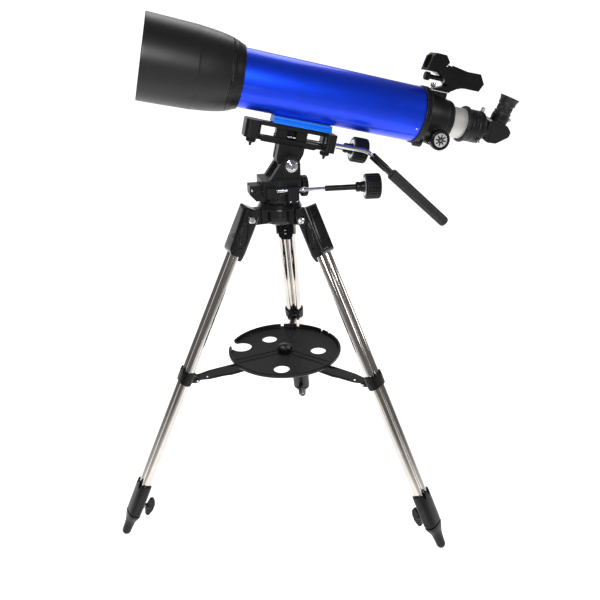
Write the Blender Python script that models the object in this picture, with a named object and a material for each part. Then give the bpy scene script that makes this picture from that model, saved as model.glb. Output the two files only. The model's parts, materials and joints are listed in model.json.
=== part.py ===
"""Refractor telescope on a steel tripod with a slow-motion altazimuth mount.

World frame: metres, +Z up, X along the tube (objective towards -X, eyepiece
towards +X), origin at the middle of the outer box on the floor.  The tube is
modelled at rest tipped up by TILT about the altitude axis.
"""
import math

import bmesh
import bpy
from mathutils import Matrix, Vector

GAP = 0.0003            # clearance between touching neighbours

# Tripod
LEG_ANGLE = math.radians(25.92)     # leg against the vertical, spread
LEG_YAWS = [math.radians(a) for a in (192.5, 312.5, 72.5)]
PIVOT_R = 0.0692        # leg pivot from the azimuth axis
PIVOT_Z = 0.6586
HUB_TOP = 0.6838
TUBE_PAIR = 0.0091      # half the spacing of the twin leg tubes
TUBE_R = 0.0096
TUBE_BORE = 0.0083
ROD_R = 0.0079
ROD_BORE = 0.0067
LEG_TUBE_TOP = 0.050    # distances down the leg from its pivot
LEG_TUBE_END = 0.6735
HOUSING_TOP = 0.602
HOUSING_END = 0.6745
FOOT_TOP = 0.6755
FOOT_TIP_R = 0.0095
LOCK_L = 0.660
COLLAR_TOP = 0.334
COLLAR_END = 0.363
BRACKET_HALF = 0.0220   # half the bracket's width along its bolt
PIN_L = 0.349
PIN_IN = 0.021          # arm pin, inward of the leg axis
ARM_INNER_R = 0.026     # arm end from the azimuth axis
PIVOT_BORE_R = 0.0048
ARM_HALF_WIDTH = 0.0052
SPREADER_PLATE_Z = 0.3440
TRAY_FLOOR_Z = 0.3480
TRAY_FACE_Z = 0.3506    # top of the tray's flat floor
TRAY_BOSS_Z = 0.3513    # raised centre that the knob bears on
TRAY_BOSS_R = 0.0155
TRAY_RIM_Z = 0.3585
TRAY_R = 0.1215
TRAY_HOLES = ((110, 0.0662), (344, 0.0726), (254, 0.0830))      # (bearing in degrees, distance out)
TRAY_HOLE_R = 0.0165
TRAY_CUT_AT = (-0.0885, 0.0405)     # round cut-out open through the rim
TRAY_CUT_R = 0.0215
TRAY_CUT_YAW = 155

# Azimuth base and yoke
BASE_Z = HUB_TOP + 0.0007
BASE_R = 0.037
LEDGE_Z = 0.7305
CHEEK_IN = 0.0205
CHEEK_OUT = 0.034
BOSS_R = 0.018
WHEEL_R = 0.030
AZ_WORM_Z = 0.711
AZ_WORM_OUT = 0.0361    # worm axis from the azimuth axis
AZ_WORM_YAW = math.radians(-6.0)
AZ_KNOB_AT = 0.1775     # knob centre along the worm axis
WORM_R = 0.0055
SHAFT_R = 0.0033
KNOB_R = 0.0245
KNOB_LEN = 0.030
LOCK_AT = (0.0, 0.004, 0.7080)      # azimuth lock knob's axis

# Altitude parts: a along the tube, b square to it, from the altitude axis
ALT_X = 0.0185
ALT_Z = 0.757
TILT = math.radians(13.45)
BOLT_R = 0.005
SECTOR_R = 0.0404
ALT_WORM_B = 0.0465
ALT_WORM_Y = 0.007
SECTOR_HALF = 0.0042
ALT_KNOB_AT = 0.1386
CRADLE_A = (-0.0955, 0.0800)
CRADLE_TOP = 0.0689
WINDOW_TOP = 0.0609
WINDOW_LOW = 0.0424
CRADLE_LOW = 0.0319
CRADLE_Y = (-0.009, 0.015)
WINDOW_A = (-0.0650, 0.0575)
CRADLE_SCREWS = ((-0.0805, -0.012, 0.0355), (0.0665, -0.008, 0.0340))     # (a, y, top of the head in b)
HANDLE_AT = (0, -0.0215, 0.0505)
HANDLE_R = 0.0042
HANDLE_LINE = ((0.0690, -0.0215, 0.0505), (0.1380, -0.0235, 0.0512), (0.1490, -0.0232, 0.0490),
               (0.1560, -0.0230, 0.0452), (0.3530, -0.0170, -0.0640))
GRIP_FROM = 0.058       # grip's start and the rod's end, down the handle's straight run
ROD_TO = 0.090

# Optical tube
AXIS_B = 0.1354         # optical axis above the altitude axis
TUBE_OD = 0.105
TUBE_FRONT = -0.1365
TUBE_REAR = 0.2330
LENS_D = 0.102
RAIL_A = (-0.0454, 0.0691)
DRAW_R = 0.0298
DIAG_LEAN = math.radians(8.0)
DIAG_ROLL = math.radians(8.0)
DIAG_CENTRE = (0.4100, 0.0, 0.0)
HOLDER_SCREW_UP = 0.0290    # set screw above the diagonal's centre
ADAPTER_SCREW_A = 0.3690
ADAPTER_SCREW_TURNS = (math.radians(15), math.radians(138))
FINDER_SCREW_A = 0.2548
FINDER_KNOB_AT = (0.2555, 0, 0.0735)
FOCUS_A = 0.2738        # focus shaft
FOCUS_B = -0.0355       # below the optical axis

MATERIALS = {
    # name: (colour, metallic, roughness)
    "satin_black_paint": ((0.012, 0.012, 0.013), 0.0, 0.42),
    "gloss_black_casting": ((0.010, 0.010, 0.011), 0.0, 0.25),
    "black_plastic": ((0.014, 0.014, 0.015), 0.0, 0.5),
    "blue_tube_paint": ((0.004, 0.020, 0.42), 0.45, 0.18),
    "azure_anodised_rail": ((0.0, 0.16, 0.85), 0.3, 0.35),
    "polished_steel": ((0.62, 0.61, 0.60), 1.0, 0.18),
    "chrome": ((0.80, 0.80, 0.81), 1.0, 0.08),
    "black_rubber": ((0.016, 0.016, 0.017), 0.0, 0.8),
    "coated_glass": ((0.10, 0.16, 0.14), 0.0, 0.03),
    "gold_coated_glass": ((0.75, 0.55, 0.05), 0.2, 0.08),
}


def clear_scene():
    for obj in list(bpy.data.objects):
        bpy.data.objects.remove(obj, do_unlink=True)


def material(name, slot):
    """A material of its own for one piece, in the finish of its slot."""
    colour, metallic, roughness = MATERIALS[slot]
    made = bpy.data.materials.new(f"{name}_{slot}")
    made.use_nodes = True
    shader = made.node_tree.nodes["Principled BSDF"]
    shader.inputs["Base Color"].default_value = (*colour, 1.0)
    shader.inputs["Metallic"].default_value = metallic
    shader.inputs["Roughness"].default_value = roughness
    made.diffuse_color = (*colour, 1.0)
    return made


def link(name, bm, slot, parent=None, at=(0, 0, 0), turn=(0, 0, 0), crease=38.0):
    """Turns a bmesh into a linked object in its parent's frame."""
    bmesh.ops.remove_doubles(bm, verts=bm.verts, dist=1e-6)
    bmesh.ops.recalc_face_normals(bm, faces=bm.faces)
    mesh = bpy.data.meshes.new(name)
    bm.to_mesh(mesh)
    bm.free()
    mesh.shade_smooth()
    mesh.set_sharp_from_angle(angle=math.radians(crease))
    if slot:
        mesh.materials.append(material(name, slot))
    obj = bpy.data.objects.new(name, mesh)
    obj.parent = parent
    obj.location = at
    obj.rotation_euler = turn
    bpy.context.scene.collection.objects.link(obj)
    return obj


def empty(name, parent=None, at=(0, 0, 0), turn=(0, 0, 0)):
    obj = bpy.data.objects.new(name, None)
    obj.empty_display_size = 0.03
    obj.parent = parent
    obj.location = at
    obj.rotation_euler = turn
    bpy.context.scene.collection.objects.link(obj)
    return obj


def hide(obj):
    obj.hide_render = True
    obj.display_type = "WIRE"
    return obj


def boolean(target, operation, tool):
    modifier = target.modifiers.new(f"{operation.lower()}_{tool.name}", "BOOLEAN")
    modifier.operation = operation
    modifier.object = hide(tool)
    modifier.solver = "EXACT"
    return target


def cut(target, *tools):
    for tool in tools:
        boolean(target, "DIFFERENCE", tool)
    return target


def join(target, *tools):
    for tool in tools:
        boolean(target, "UNION", tool)
    return target


# Shape makers: each returns a bmesh
def box(lo, hi):
    bm = bmesh.new()
    bmesh.ops.create_cube(bm, size=1.0)
    lo, hi = Vector(lo), Vector(hi)
    size = hi - lo
    bmesh.ops.scale(bm, vec=size, verts=bm.verts)
    bmesh.ops.translate(bm, vec=(lo + hi) / 2, verts=bm.verts)
    return bm


def rounded_box(lo, hi, radius, segments=2):
    bm = box(lo, hi)
    bmesh.ops.bevel(bm, geom=bm.edges, offset=radius, segments=segments, affect="EDGES")
    return bm


def turned(profile, steps=24, axis="Z"):
    """Spins (radius, height) points about an axis; a profile off the axis closes on itself."""
    bm = bmesh.new()
    verts = [bm.verts.new((r, 0.0, z)) for r, z in profile]
    edges = [bm.edges.new(pair) for pair in zip(verts, verts[1:])]
    if profile[0][0] > 1e-9 or profile[-1][0] > 1e-9:
        edges.append(bm.edges.new((verts[-1], verts[0])))
    bmesh.ops.spin(bm, geom=verts + edges, cent=(0, 0, 0), axis=(0, 0, 1),
                   angle=2 * math.pi, steps=steps, use_merge=True)
    bmesh.ops.remove_doubles(bm, verts=bm.verts, dist=1e-6)
    return aimed(bm, axis)


def aimed(bm, axis):
    turns = {"Z": None, "X": Matrix.Rotation(math.pi / 2, 3, "Y"),
             "Y": Matrix.Rotation(-math.pi / 2, 3, "X")}
    if turns[axis] is not None:
        bmesh.ops.rotate(bm, cent=(0, 0, 0), matrix=turns[axis], verts=bm.verts)
    return bm


def rod(radius, start, end, steps=16, axis="Z"):
    return turned([(0, start), (radius, start), (radius, end), (0, end)], steps, axis)


def open_bar(profile, steps):
    """Spins a blind tube whose profile touches the axis with two neighbouring points."""
    at = next(i for i, (r, _) in enumerate(profile) if r == 0)
    return turned(profile[at + 1:] + profile[:at + 1], steps)


def prism(outline, start, end, plane="XZ"):
    """Extrudes an outline; plane XZ runs along Y, XY along Z, YZ along X."""
    place = {"XZ": lambda p, d: (p[0], d, p[1]),
             "XY": lambda p, d: (p[0], p[1], d),
             "YZ": lambda p, d: (d, p[0], p[1])}[plane]
    bm = bmesh.new()
    face = bm.faces.new([bm.verts.new(place(p, start)) for p in outline])
    made = bmesh.ops.extrude_face_region(bm, geom=[face])
    moved = [v for v in made["geom"] if isinstance(v, bmesh.types.BMVert)]
    shift = Vector(place((0, 0), end)) - Vector(place((0, 0), start))
    bmesh.ops.translate(bm, vec=shift, verts=moved)
    return bm


def arc(cx, cy, radius, start, end, steps):
    """Points on an arc, angles in degrees."""
    return [(cx + radius * math.cos(math.radians(start + (end - start) * i / steps)),
             cy + radius * math.sin(math.radians(start + (end - start) * i / steps)))
            for i in range(steps + 1)]


def oval(half_x, half_y, steps=20, power=2.6):
    """A superellipse outline."""
    points = []
    for i in range(steps):
        t = 2 * math.pi * i / steps
        c, s = math.cos(t), math.sin(t)
        points.append((half_x * math.copysign(abs(c) ** (2 / power), c),
                       half_y * math.copysign(abs(s) ** (2 / power), s)))
    return points


def lofted(sections):
    """Closed body through rings of equal count; each section is (outline, height)."""
    bm = bmesh.new()
    rings = [[bm.verts.new((x, y, z)) for x, y in outline] for outline, z in sections]
    count = len(rings[0])
    for low, high in zip(rings, rings[1:]):
        for i in range(count):
            j = (i + 1) % count
            bm.faces.new((low[i], low[j], high[j], high[i]))
    bm.faces.new(list(reversed(rings[0])))
    bm.faces.new(rings[-1])
    return bm


def ribbed(radius, depth, ribs, start, end, axis="X"):
    """A knob body with flat-topped ribs along its rim."""
    outline = []
    for i in range(ribs):
        base = 2 * math.pi * i / ribs
        step = 2 * math.pi / ribs
        for share, r in ((0.0, radius), (0.45, radius), (0.6, radius - depth), (0.85, radius - depth)):
            outline.append((r * math.cos(base + share * step), r * math.sin(base + share * step)))
    return aimed(prism(outline, start, end, "XY"), axis)


def worm_profile(radius, depth, start, end, threads):
    """Half profile of a worm: thread crests and roots between two ends."""
    pitch = (end - start) / threads
    points = []
    for i in range(threads):
        at = start + i * pitch
        points += [(radius - depth, at), (radius, at + 0.35 * pitch), (radius, at + 0.6 * pitch)]
    points.append((radius - depth, end))
    return points


def twin_outline(radius, steps=6):
    """Figure-eight section of two tubes side by side along Y (outline in X, Y)."""
    half = math.degrees(math.acos(min(1.0, TUBE_PAIR / radius)))
    right = arc(0.0, 0.0, radius, -(180 - half), 180 - half, steps + 4)
    upper = [(-y, x + TUBE_PAIR) for x, y in right]
    lower = [(y, -x - TUBE_PAIR) for x, y in right]
    return [(x, y) for x, y in upper] + [(x, y) for x, y in lower][1:-1]


# Tripod
def tripod_hub():
    body = link("tripod_hub", turned([
        (0, 0.6395), (0.024, 0.6395), (0.031, 0.6425), (0.0335, 0.650), (0.034, 0.6705),
        (0.0445, 0.6725), (0.0385, HUB_TOP), (0.0130, HUB_TOP), (0.0115, 0.6975),
        (WHEEL_R - 0.001, 0.6975), (WHEEL_R, 0.6990), (WHEEL_R, 0.7120),
        (WHEEL_R - 0.001, 0.7135), (0.0115, 0.7135), (0.0115, 0.7200), (0, 0.7200)], 24),
        "gloss_black_casting", ROOT)
    for k, yaw in enumerate(LEG_YAWS, 1):
        ear = link(f"hub_ear_{k}", prism(
            [(0.012, 0.6415), (0.066, 0.6430), (0.0775, 0.6480), (0.0805, 0.6575),
             (0.0790, 0.6680), (0.0700, 0.6745), (0.012, 0.6745)], -0.009, 0.009),
            None, ROOT, turn=(0, 0, yaw))
        hole = link(f"hub_ear_hole_{k}", rod(PIVOT_BORE_R, -0.02, 0.02, 12, "Y"), None, ear,
                    at=(PIVOT_R, 0, PIVOT_Z))
        join(body, ear)
        cut(body, hole)
    return body


def leg_frame(k, yaw):
    """Empty at the leg pivot: +X outward across the leg, Z up the leg."""
    turn = (Matrix.Rotation(yaw, 4, "Z") @ Matrix.Rotation(-LEG_ANGLE, 4, "Y")).to_euler()
    at = (PIVOT_R * math.cos(yaw), PIVOT_R * math.sin(yaw), PIVOT_Z)
    return empty(f"leg_{k}_pivot", ROOT, at, turn)


def leg_bracket(k, pivot):
    """Cast bracket: open inward for the hub's ear, with a tongue down the tubes' inner side."""
    outline = [(-0.0150, 0.0100), (-0.0060, 0.0205), (0.0150, 0.0205), (0.0190, 0.0150),
               (0.0165, -0.0740), (0.0110, -0.0770), (-0.0110, -0.0770), (-0.0165, -0.0720)]
    body = link(f"leg_bracket_{k}", prism(outline, -BRACKET_HALF, BRACKET_HALF), "gloss_black_casting", pivot)
    rounding = link(f"bracket_rounding_{k}", prism(oval(0.0192, BRACKET_HALF, 28, 3.4), -0.10, 0.04, "XY"), None, pivot)
    tongue = link(f"bracket_tongue_{k}", prism(
        [(-0.0160, -0.0700), (0.0160, -0.0700), (0.0145, -0.0800), (0.0085, -0.0880), (-0.0085, -0.0880),
         (-0.0145, -0.0800)], -0.0163, -0.0086, "YZ"), None, pivot)
    slot = link(f"bracket_slot_{k}", prism(
        [(-0.05, -0.0300), (0.0142, -0.0300), (0.0142, 0.0163), (0.0045, 0.0163), (0.0045, 0.05), (-0.05, 0.05)],
        -0.0096, 0.0096), None, pivot)
    socket = link(f"bracket_socket_{k}", prism(twin_outline(TUBE_R + GAP), -0.10, -LEG_TUBE_TOP + GAP, "XY"),
                  None, pivot)
    bore = link(f"bracket_bore_{k}", rod(PIVOT_BORE_R, -0.03, 0.03, 12, "Y"), None, pivot)
    panels = [link(f"bracket_panel_{k}_{side}", box((-0.0095, y0, -0.062), (0.0100, y1, -0.016)), None, pivot)
              for side, y0, y1 in (("a", -0.03, -0.0204), ("b", 0.0204, 0.03))]
    boolean(body, "INTERSECT", rounding)
    join(body, tongue)
    return cut(body, slot, socket, bore, *panels)


def leg_pivot_bolt(k, pivot):
    return link(f"leg_pivot_bolt_{k}", turned([
        (0, -0.0283), (0.0055, -0.0280), (0.0072, -0.0260), (0.0072, -0.0224), (0.0045, -0.0223),
        (0.0045, 0.0223), (0.0072, 0.0224), (0.0072, 0.0260), (0.0055, 0.0280), (0, 0.0283)], 12, "Y"),
        "chrome", pivot)


def leg_tube(k, pivot):
    body = link(f"leg_tube_{k}", prism(twin_outline(TUBE_R), -LEG_TUBE_END, -LEG_TUBE_TOP, "XY"),
                "polished_steel", pivot)
    bores = [link(f"tube_bore_{k}_{side}", rod(TUBE_BORE, -0.7, -0.02, 12), None, pivot, at=(0, y, 0))
             for side, y in (("a", -TUBE_PAIR), ("b", TUBE_PAIR))]
    return cut(body, *bores)


def notched_shell(name, pivot, top, end, half_x, half_y, prong):
    """Oval clamp around the twin tubes with a W-shaped upper end."""
    body = link(name, lofted([
        (oval(half_x - 0.0012, half_y - 0.0012), -end),
        (oval(half_x, half_y), -end + 0.0025),
        (oval(half_x, half_y), -top)]), "black_plastic", pivot)
    hole = link(f"{name}_hole", prism(twin_outline(TUBE_R + GAP), -end - 0.02, -top + 0.02, "XY"), None, pivot)
    notches = [link(f"{name}_notch_{side}", prism(
        [(y - 0.0055, -top + 0.01), (y - 0.0045, -top), (y, -top - prong), (y + 0.0045, -top),
         (y + 0.0055, -top + 0.01)], -0.05, 0.05, "YZ"), None, pivot)
        for side, y in (("a", -TUBE_PAIR), ("b", TUBE_PAIR))]
    return cut(body, hole, *notches)


def leg_lock_housing(k, pivot):
    body = notched_shell(f"leg_lock_housing_{k}", pivot, HOUSING_TOP, HOUSING_END, 0.0138, 0.0228, 0.012)
    boss = link(f"housing_boss_{k}", rod(0.0070, -0.0168, -0.0100, 14, "X"), None, pivot, at=(0, 0, -LOCK_L))
    hole = link(f"housing_screw_hole_{k}", rod(0.0034, -0.03, -0.0060, 10, "X"), None, pivot, at=(0, 0, -LOCK_L))
    join(body, boss)
    keep = link(f"housing_clear_{k}", prism(twin_outline(TUBE_R + GAP), -0.7, -0.5, "XY"), None, pivot)
    return cut(body, keep, hole)


def leg_lock_knob(k, pivot):
    """Wing screw that clamps the telescoping leg; it turns about its own stem."""
    body = link(f"leg_lock_knob_{k}", turned([
        (0, -0.0290), (0.0052, -0.0290), (0.0055, -0.0190), (0.0031, -0.0186), (0.0031, -0.0104), (0, -0.0104)],
        10, "X"), "black_plastic", pivot, at=(0, 0, -LOCK_L))
    wing = link(f"lock_wing_{k}", prism(
        [(-0.0235, -0.0060), (-0.0265, -0.0195), (-0.0340, -0.0200), (-0.0390, -0.0070), (-0.0390, 0.0070),
         (-0.0340, 0.0200), (-0.0265, 0.0195), (-0.0235, 0.0060)],
        -0.0045, 0.0045), None, pivot, at=(0, 0, -LOCK_L))
    return join(body, wing)


def leg_collar(k, pivot):
    body = notched_shell(f"leg_collar_{k}", pivot, COLLAR_TOP, COLLAR_END, 0.0134, 0.0228, 0.008)
    lugs = [link(f"collar_lug_{k}_{side}", prism(
        arc(-PIN_IN, 0.0, 0.0060, 90, 270, 6) + [(-0.0095, -0.0090), (-0.0095, 0.0090)], y0, y1),
        None, pivot, at=(0, 0, -PIN_L)) for side, y0, y1 in (("a", -0.0125, -0.0078), ("b", 0.0078, 0.0125))]
    pins = [link(f"collar_pin_{k}_{side}", rod(0.0032, y0, y1, 10, "Y"), None, pivot, at=(-PIN_IN, 0, -PIN_L))
            for side, y0, y1 in (("a", -0.0150, -0.0060), ("b", 0.0060, 0.0150))]
    join(body, *lugs, *pins)
    keep = link(f"collar_clear_{k}", prism(twin_outline(TUBE_R + GAP), -0.5, -0.2, "XY"), None, pivot)
    return cut(body, keep)


def lower_leg(k, pivot):
    """Twin telescoping rods joined by the foot."""
    tip = (PIVOT_Z - FOOT_TIP_R) / math.cos(LEG_ANGLE)
    down = math.radians(90)
    dome = []
    for i in range(4):
        t = down * (i + 0.6) / 4.6
        dome.append((oval(FOOT_TIP_R * math.cos(t), FOOT_TIP_R * math.cos(t), 16, 2.0),
                     -(tip + FOOT_TIP_R * math.sin(t))))
    sections = [(oval(0.0138, 0.0224, 16), -FOOT_TOP), (oval(0.0134, 0.0208, 16), -FOOT_TOP - 0.006),
                (oval(0.0118, 0.0150, 16, 2.4), -0.6890), (oval(0.0103, 0.0114, 16, 2.2), -0.6980),
                (oval(0.0098, 0.0100, 16, 2.1), -0.7100), (oval(FOOT_TIP_R, FOOT_TIP_R, 16, 2.0), -tip), *dome]
    body = link(f"lower_leg_{k}", lofted(list(reversed(sections))), "polished_steel", pivot)
    profile = [(ROD_BORE, -0.25), (ROD_R, -0.25), (ROD_R, -0.682), (0, -0.682), (0, -0.665), (ROD_BORE, -0.665)]
    rods = [link(f"lower_rod_{k}_{side}", open_bar(profile, 12), None, pivot, at=(0, y, 0))
            for side, y in (("a", -TUBE_PAIR), ("b", TUBE_PAIR))]
    return join(body, *rods)


def collar_pin_point():
    """(radius, z) of the spreader arm's outer pin with the legs spread."""
    s, c = math.sin(LEG_ANGLE), math.cos(LEG_ANGLE)
    return PIVOT_R + PIN_L * s - PIN_IN * c, PIVOT_Z - PIN_L * c - PIN_IN * s


def spreader_arm(k, yaw):
    radius, z = collar_pin_point()
    at = (radius * math.cos(yaw), radius * math.sin(yaw), z)
    reach = radius - ARM_INNER_R
    outline = (arc(0, 0, 0.0050, -90, 90, 6) +
               [(-0.012, 0.0052), (-0.030, 0.0078), (-0.075, 0.0088), (-0.150, 0.0074)] +
               [(-reach, 0.0040), (-reach - 0.0030, 0.0010), (-reach - 0.0030, -0.0028), (-reach, -0.0044)] +
               [(-0.110, -0.0098), (-0.078, -0.0112), (-0.060, -0.0092), (-0.028, -0.0086), (-0.012, -0.0056)])
    body = link(f"spreader_arm_{k}", prism(outline, -ARM_HALF_WIDTH, ARM_HALF_WIDTH), "black_plastic", ROOT,
                at, (0, 0, yaw))
    hole = link(f"arm_hole_{k}", rod(0.0036, -0.02, 0.02, 10, "Y"), None, body)
    return cut(body, hole)


def spreader_hub():
    radius, z = collar_pin_point()
    body = link("spreader_hub", turned([
        (0, SPREADER_PLATE_Z), (0.0300, SPREADER_PLATE_Z), (0.0315, SPREADER_PLATE_Z + 0.0010),
        (0.0300, SPREADER_PLATE_Z + 0.0032), (0, SPREADER_PLATE_Z + 0.0032)], 24), "black_plastic", ROOT)
    for k, yaw in enumerate(LEG_YAWS, 1):
        for side, y0, y1 in (("a", -0.0092, -0.0062), ("b", 0.0062, 0.0092)):
            lug = link(f"spreader_lug_{k}{side}", prism(
                [(0.0180, SPREADER_PLATE_Z + 0.001), (0.0195, z - 0.004), (0.0255, z - 0.005),
                 (0.0300, z - 0.002), (0.0305, SPREADER_PLATE_Z + 0.001)], y0, y1), None, ROOT, turn=(0, 0, yaw))
            join(body, lug)
    bore = link("spreader_bore", rod(0.0040, 0.3, 0.4, 12), None, ROOT)
    return cut(body, bore)


def accessory_tray():
    """Round dish with a rolled rim, eyepiece holes and a cut-out at one side."""
    r = TRAY_R
    body = link("accessory_tray", turned([
        (0.0045, TRAY_FLOOR_Z), (r - 0.005, TRAY_FLOOR_Z), (r - 0.001, TRAY_FLOOR_Z + 0.002),
        (r, TRAY_FLOOR_Z + 0.004), (r, TRAY_RIM_Z - 0.001), (r - 0.0015, TRAY_RIM_Z),
        (r - 0.0040, TRAY_RIM_Z), (r - 0.0048, TRAY_RIM_Z - 0.001), (r - 0.0060, TRAY_FACE_Z),
        (TRAY_BOSS_R, TRAY_FACE_Z), (TRAY_BOSS_R, TRAY_BOSS_Z), (0.0045, TRAY_BOSS_Z)], 40),
        "black_plastic", ROOT)
    tools = []
    for i, (deg, dist) in enumerate(TRAY_HOLES, 1):
        a = math.radians(deg)
        tools.append(link(f"tray_hole_{i}", rod(TRAY_HOLE_R, 0.33, 0.38, 16), None, ROOT,
                          at=(dist * math.cos(a), dist * math.sin(a), 0)))
    round_part = arc(0, 0, TRAY_CUT_R, 50, 310, 14)
    half = round_part[0][1]
    tools.append(link("tray_cutout", prism(round_part + [(0.040, -half), (0.040, half)], 0.33, 0.38, "XY"), None,
                      ROOT, at=(*TRAY_CUT_AT, 0), turn=(0, 0, math.radians(TRAY_CUT_YAW))))
    return cut(body, *tools)


def tray_knob():
    top = TRAY_BOSS_Z + GAP
    low = SPREADER_PLATE_Z
    return link("tray_knob", turned([
        (0, low), (0.0034, low), (0.0034, top), (0.0085, top), (0.0135, top + 0.0015), (0.0135, top + 0.0085),
        (0.0115, top + 0.0110), (0, top + 0.0120)], 18), "black_plastic", ROOT)


# Azimuth base and yoke
def worm_axis_point(along):
    """World point on the azimuth worm's axis, measured from its mesh point."""
    s, c = math.sin(AZ_WORM_YAW), math.cos(AZ_WORM_YAW)
    return (AZ_WORM_OUT * s + along * c, -AZ_WORM_OUT * c + along * s, AZ_WORM_Z)


def azimuth_yoke():
    body = link("azimuth_yoke", turned([
        (0, BASE_Z), (BASE_R - 0.001, BASE_Z), (BASE_R, BASE_Z + 0.0015), (BASE_R, 0.712),
        (BASE_R, LEDGE_Z - 0.003), (0, LEDGE_Z - 0.003)], 24), "satin_black_paint", ROOT)
    deck = link("yoke_deck", rounded_box((-0.0385, -0.0365, 0.703), (0.0370, 0.0365, LEDGE_Z), 0.003, 1), None, ROOT)
    join(body, deck)
    left = ALT_X - 0.0415
    right = ALT_X + BOSS_R
    for side, y0, y1 in (("near", -CHEEK_OUT, -CHEEK_IN), ("far", CHEEK_IN, CHEEK_OUT)):
        outline = arc(ALT_X, ALT_Z, BOSS_R, 0, 137, 10) + [(left, LEDGE_Z), (left, LEDGE_Z - 0.006),
                                                         (right, LEDGE_Z - 0.006)]
        join(body, link(f"cheek_{side}", prism(outline, y0, y1), None, ROOT))
        face = y0 if side == "near" else y1
        sign = -1 if side == "near" else 1
        boss = rod(0.0145, *sorted((face - sign * 0.002, face + sign * 0.0015)), 20, "Y")
        join(body, link(f"cheek_boss_{side}", boss, None, ROOT, at=(ALT_X, 0, ALT_Z)))
        pocket = prism([(ALT_X - 0.0335, LEDGE_Z + 0.0030), (ALT_X - 0.0215, ALT_Z - 0.008),
                        (ALT_X - 0.0165, ALT_Z - 0.008), (ALT_X - 0.0165, LEDGE_Z + 0.0030)],
                       *sorted((face - sign * 0.0035, face + sign * 0.01)))
        cut(body, link(f"cheek_pocket_{side}", pocket, None, ROOT))
    block = link("counter_block", prism(
        [(-0.0610, 0.7205), (-0.0300, 0.7205), (-0.0300, 0.6900), (-0.0490, 0.6900), (-0.0610, 0.7030)],
        -0.0230, 0.0120), None, ROOT)
    bearing = link("worm_bearing", rounded_box((0.0085, -0.0490, 0.6870), (0.0300, -0.0300, 0.7185), 0.0015, 1),
                   None, ROOT)
    thrust = link("worm_thrust_block", rounded_box((-0.0320, -0.0455, 0.6980), (-0.0125, -0.0300, 0.7185), 0.0015, 1),
                  None, ROOT)
    join(body, block, bearing, thrust)
    cavity = link("wheel_cavity", turned([
        (0, 0.60), (0.0140, 0.60), (0.0140, BASE_Z - 0.001), (WHEEL_R + 0.0010, BASE_Z - 0.001),
        (WHEEL_R + 0.0010, 0.7145), (0.0135, 0.7145), (0.0135, 0.7210), (0, 0.7210)], 24), None, ROOT)
    groove = link("worm_groove", rod(WORM_R + 0.0007, -0.0120, 0.0078, 14, "X"), None, ROOT,
                  at=worm_axis_point(0), turn=(0, 0, AZ_WORM_YAW))
    shaft_bore = link("worm_shaft_bore", rod(SHAFT_R + GAP, -0.0700, 0.0700, 12, "X"), None, ROOT,
                      at=worm_axis_point(0), turn=(0, 0, AZ_WORM_YAW))
    bolt_bore = link("bolt_bore", rod(BOLT_R + GAP, -0.08, 0.08, 14, "Y"), None, ROOT, at=(ALT_X, 0, ALT_Z))
    clamp_bore = link("clamp_bore", rod(0.0038, 0.0280, 0.0600, 12, "X"), None, ROOT, at=LOCK_AT)
    return cut(body, cavity, groove, shaft_bore, bolt_bore, clamp_bore)


def azimuth_worm():
    """Worm, its end nut and the shaft out to the control."""
    profile = ([(0, -0.0260), (SHAFT_R, -0.0260), (SHAFT_R, -0.0112)] +
               worm_profile(WORM_R, 0.0014, -0.0110, 0.0070, 6) +
               [(SHAFT_R, 0.0072), (SHAFT_R, 0.0412), (0.0048, 0.0416), (0.0048, 0.0476), (0.0036, 0.0480),
                (0.0036, 0.0850), (0, 0.0850)])
    return link("azimuth_worm", turned(profile, 12, "X"), "chrome", ROOT,
                at=worm_axis_point(0), turn=(0, 0, AZ_WORM_YAW))


def control_profile(start, knob_at):
    """Sleeve and hub of a slow-motion control; the ribbed grip joins it."""
    return [(0, start), (0.0050, start), (0.0055, start + 0.003), (0.0055, knob_at - 0.0330),
            (0.0095, knob_at - 0.0310), (0.0105, knob_at - 0.0150), (0.0150, knob_at - 0.0130), (0, knob_at - 0.0130)]


def control_knob(name, parent, start, knob_at, at, turn):
    body = link(name, turned(control_profile(start, knob_at), 16, "X"), "black_plastic", parent, at, turn)
    grip = link(f"{name}_grip", ribbed(KNOB_R, 0.0022, 18, knob_at - KNOB_LEN / 2, knob_at + KNOB_LEN / 2, "X"), None,
                parent, at, turn)
    join(body, grip)
    return body


def azimuth_lock_knob():
    body = link("azimuth_lock_knob", turned([
        (0, 0.0315), (0.0034, 0.0315), (0.0034, 0.0385), (0.0110, 0.0390), (0.0130, 0.0430), (0.0150, 0.0450),
        (0, 0.0450)], 16, "X"), "black_plastic", ROOT, LOCK_AT)
    grip = link("lock_knob_grip", ribbed(0.0210, 0.0020, 16, 0.0440, 0.0570, "X"), None, ROOT, LOCK_AT)
    return join(body, grip)


# Altitude parts
def altitude_bolt():
    return link("altitude_bolt", turned([
        (0, -0.0500), (0.0062, -0.0500), (0.0070, -0.0490), (0.0070, -0.0430), (0.0100, -0.0425),
        (0.0118, -0.0405), (0.0118, -0.0362), (0.0050, -0.0360), (0.0050, 0.0360), (0.0095, 0.0362),
        (0.0095, 0.0410), (0.0080, 0.0425), (0, 0.0430)], 16, "Y"), "chrome", ROOT, at=(ALT_X, 0, ALT_Z))


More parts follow.
